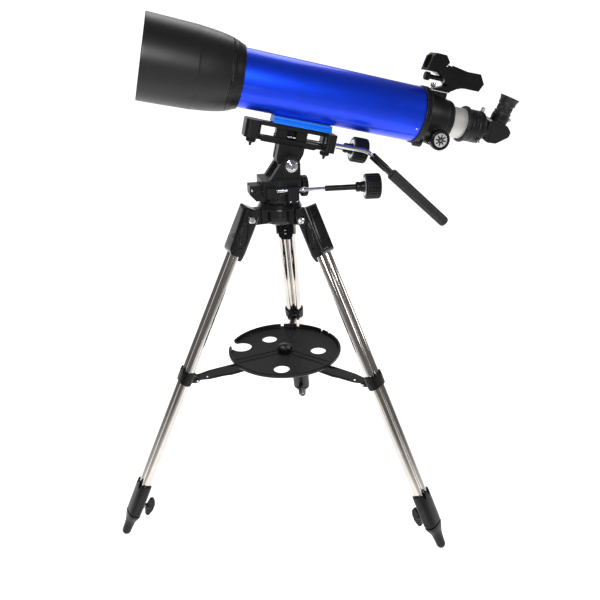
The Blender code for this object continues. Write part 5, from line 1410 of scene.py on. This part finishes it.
@dataclass
class Tripod:
    """The head casting, three legs, the spreader and its tray."""

    pivot: float = 0.0692
    pivot_z: float = 0.6586
    hub_top: float = 0.6838
    pair: float = 0.0091
    tube: float = 0.0096
    rod: float = 0.0078
    tip_radius: float = 0.0095
    half: float = 0.0220
    gap: float = 0.0003
    angle: float = math.radians(25.92)
    lock: float = 0.660
    pin: tuple[float, float] = (0.021, 0.349)
    arm_pin: float = 0.20287
    arm_inner: float = 0.026
    yaws: tuple[float, ...] = field(default_factory=lambda: tuple(math.radians(a) for a in (192.5, 312.5,
                                                                                            72.5)))

    def build(self, bench: Bench, frames: Frames) -> None:
        """Builds the head, the legs and the tray.

        Args:
            bench: makes the pieces and hangs them on their bodies.
            frames: the frames of the sub-assemblies.
        """
        ground = frames.ground()
        self.head(bench, ground)
        for number in (1, 2, 3):
            place = frames.leg(number)
            self.bracket(bench, number, place)
            self.tubes(bench, number, place)
            self.clamps(bench, number, place)
            self.lock_knob(bench, number, place)
            self.lower(bench, number, place)
            self.arm(bench, number, frames.arm(number))
        self.spreader(bench, ground)
        Tray().build(bench, ground)

    def twin(self, radius: float, steps: int = 24) -> Outline:
        """Figure-eight outline round the two tubes.

        Args:
            radius: radius of each of the two rounds.
            steps: steps round each end.

        Returns:
            The outline.
        """
        half = math.degrees(math.acos(min(1.0, self.pair / radius)))
        right = arc(0, 0, radius, half - 180, 180 - half, steps)
        upper = [(-y, x + self.pair) for x, y in right]
        lower = [(y, -x - self.pair) for x, y in right]
        return upper + lower[1:-1]

    def head(self, bench: Bench, ground: Matrix) -> None:
        """The head casting with three ears, a turned skirt and a bright ring.

        Args:
            bench: makes the pieces and hangs them on their bodies.
            ground: the frame on the floor under the azimuth axis.
        """
        w, top = 0.030, self.hub_top
        body = Form.turned([
            (0, 0.6395), (0.024, 0.6395), (0.0305, 0.6420), (0.0333, 0.6480), (0.034, 0.6550),
                            (0.034, 0.6700),
            (0.0350, 0.6712), (0.0445, 0.6725), (0.0440, 0.6740), (0.0392, 0.6825), (0.0380, top),
                            (0.0130, top),
            (0.0115, 0.6975), (w - 0.001, 0.6975), (w, 0.6990), (w, 0.7120), (w - 0.001, 0.7135),
                            (0.0115, 0.7135),
            (0.0115, 0.7200), (0, 0.7200)], steps=128, ease=0.0008)
        ear = [(0.012, 0.6415), (0.066, 0.6430), (0.0775, 0.6480), (0.0805, 0.6575), (0.0790, 0.6680),
               (0.0700, 0.6745), (0.012, 0.6745)]
        joins = [Form.drawn(eased(ear, 0.004, True), -0.009, 0.009,
                            Axis.Y).moved(turn=(0, 0, t)) for t in self.yaws]
        joins += [Form.drawn([(0.030, 0.6440), (0.0435, 0.6440), (0.0435, 0.6735), (0.030, 0.6735)], -0.0130,
                             0.0130, Axis.Y).moved(turn=(0, 0, t)) for t in self.yaws]
        cuts = [Form.bar(0.0048, -0.02, 0.02, Axis.Y).moved((self.pivot, 0, self.pivot_z)).moved(turn=(0, 0,
                                                                                                       t))
                for t in self.yaws]
        bench.piece("tripod_head_casting", body, Look.GLOSS_CASTING, "tripod_head", ground, ["tripod_hub"],
                    joins, cuts, 0.0008)
        for number, yaw in enumerate(self.yaws, 1):
            place = ground @ Matrix.Rotation(yaw, 4, "Z") @ Matrix.Translation((self.pivot, 0, self.pivot_z))
            bolt = Form.turned([
                (0, -0.0283), (0.0052, -0.0281), (0.0070, -0.0267), (0.0072, -0.0257), (0.0072, -0.0227),
                (0.0068, -0.0223), (0.0045, -0.0223), (0.0045, 0.0223), (0.0068, 0.0223), (0.0072, 0.0227),
                (0.0072, 0.0257), (0.0070, 0.0267), (0.0052, 0.0281), (0, 0.0283)], Axis.Y, 48, 0.0003)
            sockets = [Form.drawn(arc(0, 0, 0.0030, 0, 300, 5), *ends, Axis.Y)
                       for ends in ((-0.04, -0.0262), (0.0262, 0.04))]
            bench.piece(f"leg_{number}_bolt", bolt, Look.CHROME, "tripod_head", place,
                        [f"leg_pivot_bolt_{number}"], cuts=sockets)

    def bracket(self, bench: Bench, number: int, place: Matrix) -> None:
        """A leg's cast bracket: crowned sides, ridges and a pocket.

        Args:
            bench: makes the pieces and hangs them on their bodies.
            number: which leg, 1 to 3.
            place: the frame that the pieces are built in.
        """
        crest = [(-0.0150, 0.0100), (-0.0060, 0.0205), (0.0150, 0.0205), (0.0190, 0.0150), (0.0192, 0.0),
                 (0.0180, -0.0400), (0.0168, -0.0700), (0.0120, -0.0770), (-0.0120, -0.0770),
                 (-0.0160, -0.0700), (-0.0158, -0.0300)]
        body = Form.drawn(eased(crest, 0.005, True, 5), -0.03, 0.03, Axis.Y)
        rounding = Form.drawn(oval(0.0194, self.half, 96, 3.4), -0.10, 0.04)
        tongue = Form.drawn(eased([(-0.0160, -0.0700), (0.0160, -0.0700), (0.0145, -0.0800),
                                   (0.0085, -0.0880),
                                   (-0.0085, -0.0880), (-0.0145, -0.0800)], 0.004, True), -0.0163, -0.0086,
                            Axis.X)
        leaf = [(0.0105, -0.0060), (0.0140, -0.0200), (0.0130, -0.0450), (0.0060, -0.0620),
                (-0.0050, -0.0600), (-0.0085, -0.0450), (-0.0040, -0.0250), (0.0030, -0.0100)]
        slot = [(-0.05, -0.0300), (0.0142, -0.0300), (0.0142, 0.0163), (0.0045, 0.0163), (0.0045, 0.05),
                (-0.05, 0.05)]
        cuts = [Form.drawn(slot, -0.0096, 0.0096, Axis.Y), Form.drawn(self.twin(self.tube + self.gap), -0.10,
                                                                      -0.0497),
                Form.bar(0.0048, -0.03, 0.03, Axis.Y)]
        for ends in ((-0.03, -0.0196), (0.0196, 0.03)):
            cuts.append(Form.drawn(eased(leaf, 0.006, True, 5), *ends, Axis.Y))
        ridges = [Form.swept([Vector((0.0085, side * 0.0196, -0.0090)),
                              Vector((0.0100, side * 0.0198, -0.0250)),
                              Vector((0.0075, side * 0.0198, -0.0420)),
                              Vector((0.0010, side * 0.0196, -0.0540))],
                             0.0013, 12) for side in (-1, 1)]
        bench.piece(f"leg_{number}_bracket_casting", bench.common(body, rounding), Look.GLOSS_CASTING,
                    f"leg_{number}", place, [f"leg_bracket_{number}"], [tongue], cuts, 0.0009)
        for side, ridge in zip(("near", "far"), ridges):
            bench.piece(f"leg_{number}_bracket_ridge_{side}", ridge, Look.GLOSS_CASTING, f"leg_{number}",
                        place)
        for step, down in enumerate((0.0605, 0.0700), 1):
            bench.screw(f"leg_{number}_bracket_screw_{step}", Look.CHROME, f"leg_{number}", place,
                        (-0.0163, 0, -down), (0, -math.pi / 2, 0), 0.0020, 0.0012)

    def tubes(self, bench: Bench, number: int, place: Matrix) -> None:
        """A leg's two polished upper tubes.

        Args:
            bench: makes the pieces and hangs them on their bodies.
            number: which leg, 1 to 3.
            place: the frame that the pieces are built in.
        """
        both = None
        for y in (-self.pair - 0.0003, self.pair + 0.0003):
            r, inner = self.tube - 0.0004, 0.0084
            one = Form.turned([(r, -0.6735), (r, -0.0502), (inner, -0.0502), (inner, -0.6735)], steps=56,
                              ease=0.0003).moved((0, y, 0))
            both = one if both is None else both.with_form(one)
        bench.piece(f"leg_{number}_tubes", both, Look.STEEL, f"leg_{number}", place, [f"leg_tube_{number}"])

    def clamp(self, top: float, end: float, half_x: float, half_y: float, prong: float,
              waist: float) -> tuple[Form, list[Form]]:
        """An oval clamp round the tubes with a W-shaped top, and what is cut from it.

        Args:
            top: how far below the pivot the clamp starts.
            end: how far below the pivot it ends.
            half_x: half its width along X.
            half_y: half its width along Y.
            prong: length of the prongs over the tubes.
            waist: how far the middle draws in.

        Returns:
            The forms.
        """
        sections = [(oval(half_x - 0.0022, half_y - 0.0022), -end),
                    (oval(half_x - 0.0008, half_y - 0.0008), -end + 0.001),
                    (oval(half_x - waist, half_y - waist), -end + 0.004),
                    (oval(half_x - waist * 0.4, half_y - waist * 0.4), -(top + end) / 2),
                    (oval(half_x, half_y), -top - 0.010), (oval(half_x - 0.0004, half_y - 0.0004),
                                                           -top - 0.001),
                    (oval(half_x - 0.0012, half_y - 0.0012), -top)]
        cuts = [Form.drawn(self.twin(self.tube + self.gap), -end - 0.02, -top + 0.02)]
        for y in (-self.pair, self.pair):
            notch = [(y - 0.0060, -top + 0.01), (y - 0.0050, -top), (y - 0.0032, -top - prong * 0.75),
                     (y, -top - prong), (y + 0.0032, -top - prong * 0.75), (y + 0.0050, -top),
                     (y + 0.0060, -top + 0.01)]
            cuts.append(Form.drawn(eased(notch, 0.002, True), -0.05, 0.05, Axis.X))
        return Form.lofted(sections), cuts

    def clamps(self, bench: Bench, number: int, place: Matrix) -> None:
        """The lower clamp housing and the collar that carries the arm.

        Args:
            bench: makes the pieces and hangs them on their bodies.
            number: which leg, 1 to 3.
            place: the frame that the pieces are built in.
        """
        body = f"leg_{number}"
        form, cuts = self.clamp(0.602, 0.6745, 0.0138, 0.0228, 0.013, 0.0004)
        boss = Form.turned([(0, -0.0168), (0.0062, -0.0168), (0.0070, -0.0160), (0.0074, -0.0105),
                            (0, -0.0105)], Axis.X,
                           48, 0.0004).moved((0, 0, -self.lock))
        screw_hole = Form.bar(0.0034, -0.03, -0.0060, Axis.X, 32).moved((0, 0, -self.lock))
        panel = [(-0.0080, -0.6380), (0.0, -0.6220), (0.0080, -0.6380), (0.0066, -0.6680),
                 (-0.0066, -0.6680)]
        cuts += [screw_hole, *(Form.drawn(eased(panel, 0.004, True, 5), *ends, Axis.Y)
                               for ends in ((-0.03, -0.0218), (0.0218, 0.03)))]
        bench.piece(f"leg_{number}_lock_housing", form, Look.PLASTIC, body, place,
                    [f"leg_lock_housing_{number}"], [boss], cuts, 0.0006)
        form, cuts = self.clamp(0.334, 0.363, 0.0134, 0.0228, 0.008, 0.0004)
        inward, down = self.pin
        joins = []
        for side in (-1, 1):
            lug = arc(-inward, 0.0, 0.0060, 90, 270, 16) + [(-0.0095, -0.0090), (-0.0095, 0.0090)]
            joins.append(Form.drawn(lug, *sorted((side * 0.0078, side * 0.0125)),
                                    Axis.Y).moved((0, 0, -down)))
            joins.append(Form.bar(0.0032, *sorted((side * 0.0060, side * 0.0150)), Axis.Y,
                                  32).moved((-inward, 0, -down)))
        bench.piece(f"leg_{number}_collar", form, Look.PLASTIC, body, place, [f"leg_collar_{number}"], joins,
                    cuts, 0.0005)
        for side, name in ((-1, "near"), (1, "far")):
            bench.screw(f"leg_{number}_collar_screw_{name}", Look.CHROME, body, place,
                        (-inward, side * 0.0150, -down), (-side * math.pi / 2, 0, 0), 0.0024, 0.0011)

    def lock_knob(self, bench: Bench, number: int, place: Matrix) -> None:
        """The wing screw that clamps the lower leg, on its bright neck.

        Args:
            bench: makes the pieces and hangs them on their bodies.
            number: which leg, 1 to 3.
            place: the frame that the pieces are built in.
        """
        at = place @ Matrix.Translation((0, 0, -self.lock))
        body = f"leg_lock_knob_{number}"
        wing = [(-0.0235, -0.0060), (-0.0265, -0.0195), (-0.0340, -0.0200), (-0.0390, -0.0070),
                (-0.0390, 0.0070), (-0.0340, 0.0200), (-0.0265, 0.0195), (-0.0235, 0.0060)]
        hub = Form.turned([(0, -0.0330), (0.0050, -0.0330), (0.0058, -0.0300), (0.0060, -0.0210),
                           (0.0052, -0.0195), (0, -0.0195)], Axis.X, 48, 0.0006)
        bench.piece(f"leg_{number}_wing_knob", Form.drawn(eased(wing, 0.003, True), -0.0045, 0.0045, Axis.Y),
                    Look.PLASTIC, body, at, [f"leg_lock_knob_{number}"], [hub], edge=0.0009)
        neck = Form.turned([(0, -0.0193), (0.0044, -0.0193), (0.0044, -0.0174), (0.0031, -0.0172),
                            (0.0031, -0.0104), (0, -0.0104)], Axis.X, 40, 0.0003)
        bench.piece(f"leg_{number}_wing_neck", neck, Look.CHROME, body, at)

    def lower(self, bench: Bench, number: int, place: Matrix) -> None:
        """The telescoping rods and their black foot with a round tip.

        Args:
            bench: makes the pieces and hangs them on their bodies.
            number: which leg, 1 to 3.
            place: the frame that the pieces are built in.
        """
        body = f"lower_leg_{number}"
        tip = (self.pivot_z - self.tip_radius) / math.cos(self.angle)
        sections = [(oval(0.0124, 0.0208), -0.6755), (oval(0.0137, 0.0222), -0.6763),
                    (oval(0.0134, 0.0208), -0.6815),
                    (oval(0.0126, 0.0178, power=2.5), -0.6860), (oval(0.0116, 0.0145, power=2.4), -0.6910),
                    (oval(0.0106, 0.0121, power=2.3), -0.6965), (oval(0.0101, 0.0108, power=2.2), -0.7030),
                    (oval(0.0098, 0.0100, power=2.1), -0.7110),
                    (oval(self.tip_radius, self.tip_radius, power=2.0), -tip)]
        for i in range(1, 9):
            t = math.radians(90) * i / 8.4
            radius = self.tip_radius * math.cos(t)
            sections.append((oval(radius, radius, power=2.0), -(tip + self.tip_radius * math.sin(t))))
        bench.piece(f"leg_{number}_foot", Form.lofted(sections), Look.PLASTIC, body, place,
                    [f"lower_leg_{number}"])
        bench.screw(f"leg_{number}_foot_screw", Look.CHROME, body, place, (-0.0094, -0.0030, -0.7080),
                    (0, -math.pi / 2, 0), 0.0019, 0.0012)
        rods = None
        for y in (-self.pair - 0.0002, self.pair + 0.0002):
            one = Form.bar(self.rod, -0.6750, -0.2500, steps=56).moved((0, y, 0))
            rods = one if rods is None else rods.with_form(one)
        bench.piece(f"leg_{number}_rods", rods, Look.STEEL, body, place)

    def arm(self, bench: Bench, number: int, place: Matrix) -> None:
        """A spreader arm with side channels and a deeper middle.

        Args:
            bench: makes the pieces and hangs them on their bodies.
            number: which leg, 1 to 3.
            place: the frame that the pieces are built in.
        """
        length = self.arm_pin - self.arm_inner
        outline = arc(0, 0, 0.0050, -90, 90, 20) + [
            (-0.012, 0.0052), (-0.030, 0.0078), (-0.075, 0.0088), (-0.150, 0.0074), (-length, 0.0040),
            (-length - 0.0030, 0.0010), (-length - 0.0030, -0.0028), (-length, -0.0044), (-0.110, -0.0098),
            (-0.078, -0.0112), (-0.060, -0.0092), (-0.028, -0.0086), (-0.012, -0.0056)]
        cuts = [Form.bar(0.0036, -0.02, 0.02, Axis.Y, 32)]
        for ends in ((-0.02, -0.0038), (0.0038, 0.02)):
            cuts.append(Form.drawn(eased([(-0.034, 0.0050), (-0.140, 0.0050), (-0.140, -0.0040),
                                          (-0.078, -0.0076),
                                          (-0.034, -0.0056)], 0.002, True), *ends, Axis.Y))
        bench.piece(f"spreader_arm_{number}_bar", Form.drawn(outline, -0.0052, 0.0052, Axis.Y), Look.PLASTIC,
                    f"spreader_arm_{number}", place, [f"spreader_arm_{number}"], cuts=cuts, edge=0.0005)
        for side, name in ((-1, "near"), (1, "far")):
            bench.screw(f"spreader_arm_{number}_screw_{name}", Look.CHROME, f"spreader_arm_{number}", place,
                        (-0.0240, side * 0.0052, -0.0005), (-side * math.pi / 2, 0, 0), 0.0022, 0.0011)

    def spreader(self, bench: Bench, ground: Matrix) -> None:
        """The spreader plate under the tray with its six lugs.

        Args:
            bench: makes the pieces and hangs them on their bodies.
            ground: the frame on the floor under the azimuth axis.
        """
        plate, z = 0.3440, 0.33553
        body = Form.turned([(0, plate), (0.0300, plate), (0.0315, plate + 0.001), (0.0300, plate + 0.0032),
                            (0, plate + 0.0032)], steps=96)
        joins = []
        for yaw in self.yaws:
            for y0, y1 in ((-0.0092, -0.0062), (0.0062, 0.0092)):
                lug = [(0.0180, plate + 0.001), (0.0195, z - 0.004), (0.0255, z - 0.005),
                       (0.0300, z - 0.002), (0.0305, plate + 0.001)]
                joins.append(Form.drawn(eased(lug, 0.0015, True), y0, y1, Axis.Y).moved(turn=(0, 0, yaw)))
        bench.piece("spreader_plate", body, Look.PLASTIC, "spreader", ground, ["spreader_hub"], joins,
                    [Form.bar(0.0040, 0.3, 0.4)], 0.0004)


@dataclass
class Tray:
    """The round accessory tray and its centre knob."""

    radius: float = 0.1215
    under: float = 0.3480
    face: float = 0.3506
    boss: float = 0.3513
    rim: float = 0.3585
    holes: tuple[tuple[float, float], ...] = ((110, 0.0662), (344, 0.0726), (254, 0.0830))
    hole_radius: float = 0.0165
    cut_at: tuple[float, float] = (-0.0885, 0.0405)
    cut_radius: float = 0.0215
    cut_yaw: float = math.radians(155)
    arm_bearings: tuple[float, ...] = (192.5, 312.5, 72.5)
    notch_bearings: tuple[float, ...] = (81.5, 63.5, 33.0, 22.0)

    def build(self, bench: Bench, ground: Matrix) -> None:
        """Builds the dish and the knob.

        Args:
            bench: makes the pieces and hangs them on their bodies.
            ground: the frame on the floor under the azimuth axis.
        """
        r, face = self.radius, self.face
        dish = Form.turned([
            (0.0045, self.under), (r - 0.005, self.under), (r - 0.0018, self.under + 0.0012),
                            (r, self.under + 0.004),
            (r, self.rim - 0.001), (r - 0.0015, self.rim), (r - 0.0040, self.rim),
                            (r - 0.0048, self.rim - 0.001),
            (r - 0.0062, face + 0.0006), (r - 0.0074, face), (0.0155, face), (0.0155, self.boss),
                            (0.0045, self.boss)],
            steps=192, ease=0.0005)
        joins = []
        for bearing in self.arm_bearings:
            for y in (-0.0072, 0.0072):
                rib = Form.block((0.0160, y - 0.0006, face - 0.0005),
                                 (r - 0.0065, y + 0.0006, face + 0.0010))
                joins.append(rib.moved(turn=(0, 0, math.radians(bearing))))
        cuts = []
        for bearing, out in self.holes:
            t = math.radians(bearing)
            cuts.append(Form.bar(self.hole_radius, 0.33, 0.38,
                                 steps=80).moved((out * math.cos(t), out * math.sin(t), 0)))
        round_part = arc(0, 0, self.cut_radius, 50, 310, 48)
        half = round_part[0][1]
        cuts.append(Form.drawn(round_part + [(0.040, -half), (0.040, half)], 0.33, 0.38).moved(
            (*self.cut_at, 0), (0, 0, self.cut_yaw)))
        for bearing in self.notch_bearings:
            notch = Form.block((r - 0.0100, -0.0032, face + 0.0010), (r + 0.01, 0.0032, 0.38))
            cuts.append(notch.moved(turn=(0, 0, math.radians(bearing))))
        bench.piece("tray_dish", dish, Look.PLASTIC, "spreader", ground, ["accessory_tray"], joins, cuts,
                    0.0005)
        top = self.boss + 0.0003
        knob = Form.turned([(0, 0.3440), (0.0034, 0.3440), (0.0034, top), (0.0085, top),
                            (0.0150, top + 0.0006),
                            (0.0165, top + 0.0022), (0.0165, top + 0.0080), (0.0145, top + 0.0100),
                            (0.0080, top + 0.0114), (0, top + 0.0117)], steps=144, ease=0.0010,
                           relief=Ribs(8, 0.0018, 0.0145))
        bench.piece("tray_centre_knob", knob, Look.GLOSS_PLASTIC, "tray_knob", ground, ["tray_knob"])


@dataclass
class Studio:
    """Pale floor, soft lights and the camera."""

    eye: tuple[float, float, float] = (-0.2282, -1.2340, 1.0025)
    ahead: tuple[float, float, float] = (0.1929, 0.8996, -0.3919)
    right: tuple[float, float, float] = (0.9754, -0.2193, -0.0234)
    lens: float = 38.867
    sensor: float = 36.0
    floor_size: float = 40.0
    floor_near: float = 0.62
    dim: float = 0.16
    white: float = 1.15
    floor_glow: float = 0.98

    def build(self, ground: Matrix) -> None:
        """Builds the studio round the telescope."""
        self.world()
        self.floor(ground)
        self.lights()
        self.camera(ground)

    def world(self) -> None:
        """A white backdrop low behind the telescope, in a room that is dim elsewhere."""
        world = bpy.data.worlds.new("white_backdrop")
        world.use_nodes = True
        nodes, links = world.node_tree.nodes, world.node_tree.links
        way = nodes.new("ShaderNodeSeparateXYZ")
        links.new(nodes.new("ShaderNodeTexCoord").outputs["Generated"], way.inputs[0])
        shares = []
        for axis, start, end, low, high in (("Y", 0.45, 0.80, 0.0, 1.0), ("Z", 0.05, 0.30, 1.0, 0.0)):
            share = nodes.new("ShaderNodeMapRange")
            share.interpolation_type = "SMOOTHSTEP"
            for name, value in (("From Min", start), ("From Max", end), ("To Min", low), ("To Max", high)):
                share.inputs[name].default_value = value
            links.new(way.outputs[axis], share.inputs["Value"])
            shares.append(share.outputs[0])
        both = nodes.new("ShaderNodeMath")
        both.operation = "MULTIPLY"
        for share, socket in zip(shares, both.inputs):
            links.new(share, socket)
        strength = nodes.new("ShaderNodeMath")
        strength.operation = "MULTIPLY_ADD"
        strength.inputs[1].default_value = self.white - self.dim
        strength.inputs[2].default_value = self.dim
        links.new(both.outputs[0], strength.inputs[0])
        links.new(strength.outputs[0], nodes["Background"].inputs["Strength"])
        nodes["Background"].inputs["Color"].default_value = (1.0, 1.0, 1.0, 1.0)
        bpy.context.scene.world = world
        bpy.context.scene.view_settings.view_transform = "Standard"

    def floor(self, ground: Matrix) -> None:
        """A matt floor, white in front of the camera and greyer outside its view.

        Args:
            ground: the frame on the floor under the azimuth axis.
        """
        half = self.floor_size / 2
        form = Form()
        corners = [form.bm.verts.new((x, y, -0.0002)) for x,
                   y in ((-half, -half), (half, -half), (half, half),
                                                                  (-half, half))]
        form.bm.faces.new(corners)
        floor = Bench.loose("studio_floor", form.mesh("studio_floor"))
        floor.location = ground.translation
        board = Board("floor_paint")
        place = board.node("ShaderNodeTexCoord", {}).outputs["Object"]
        eye = Vector(self.eye).to_2d()
        reach, aside = (
            board.node("ShaderNodeMath", {0: board.node("ShaderNodeVectorMath", {0: place, 1: (*way, 0.0)},
                                                        operation="DOT_PRODUCT").outputs["Value"],
                                          1: -way.dot(eye)}, operation="ADD").outputs[0]
            for way in (Vector(self.ahead).to_2d().normalized(), Vector(self.right).to_2d().normalized()))
        off = board.node("ShaderNodeMath", {0: aside}, operation="ABSOLUTE").outputs[0]
        deep = board.node("ShaderNodeMath", {0: reach, 1: self.floor_near}, operation="MAXIMUM").outputs[0]
        slant = board.node("ShaderNodeMath", {0: off, 1: deep}, operation="DIVIDE").outputs[0]
        slope = self.sensor / (2 * self.lens)
        inside = board.ranged(slant, slope * 1.45, slope * 2.2, 1.0, 0.0)
        beyond = board.ranged(reach, self.floor_near - 0.25, self.floor_near, 0.0, 1.0)
        share = board.times(inside, beyond)
        links = board.tree.links
        links.new(board.mixed(share, (0.78, 0.78, 0.78, 1.0), (0.93, 0.93, 0.93, 1.0)),
                  board.shader.inputs["Base Color"])
        links.new(board.ranged(board.noise(3.0), 0.3, 0.7, 0.75, 0.9), board.shader.inputs["Roughness"])
        board.shader.inputs["Emission Color"].default_value = (1.0, 1.0, 1.0, 1.0)
        links.new(board.ranged(share, 0.0, 1.0, 0.16, self.floor_glow),
                  board.shader.inputs["Emission Strength"])
        floor.data.materials.append(board.material)

    def lights(self) -> None:
        """A soft box in front, one high behind, a card at the right and a low strip for the legs."""
        for name, at, size, power, target in (("front_box", (-0.45, -2.0, 1.60), (0.7, 0.7), 30.0, 0.8),
                                              ("back_box", (0.4, 1.6, 2.6), (1.4, 1.4), 18.0, 0.6),
                                              ("side_card", (2.4, -0.9, 1.3), (0.6, 0.6), 8.0, 0.8),
                                              ("low_strip", (-0.35, -1.9, -0.35), (0.35, 1.0), 1.6, 0.1)):
            lamp = bpy.data.lights.new(name, "AREA")
            lamp.shape = "RECTANGLE"
            lamp.size, lamp.size_y = size
            lamp.energy = power
            stand = bpy.data.objects.new(name, lamp)
            bpy.context.scene.collection.objects.link(stand)
            stand.location = at
            aim = Vector((0.0, 0.0, target)) - Vector(at)
            stand.rotation_euler = aim.to_track_quat("-Z", "Y").to_euler()

    def camera(self, ground: Matrix) -> None:
        """The camera at the viewing angle.

        Args:
            ground: the frame on the floor under the azimuth axis.
        """
        data = bpy.data.cameras.new("view")
        data.lens = self.lens
        data.sensor_width = self.sensor
        camera = bpy.data.objects.new("view", data)
        ahead = Vector(self.ahead).normalized()
        right = (Vector(self.right) - ahead * Vector(self.right).dot(ahead)).normalized()
        turn = Matrix((right, right.cross(ahead), -ahead)).transposed().to_4x4()
        camera.matrix_world = Matrix.Translation(ground.translation + Vector(self.eye)) @ turn
        bpy.context.scene.collection.objects.link(camera)
        bpy.context.scene.camera = camera


def main() -> None:
    """Builds the telescope's looks and the studio."""
    logging.basicConfig(level=logging.INFO, format="%(name)s: %(message)s")
    frames = Frames(frame["joints"])
    bench = Bench()
    for assembly in (OpticalTube(), Focuser(), Diagonal(), Finder(), Mount(), Tripod()):
        assembly.build(bench, frames)
    Studio().build(frames.ground())
    bpy.context.view_layer.update()


if __name__ == "__main__":
    main()
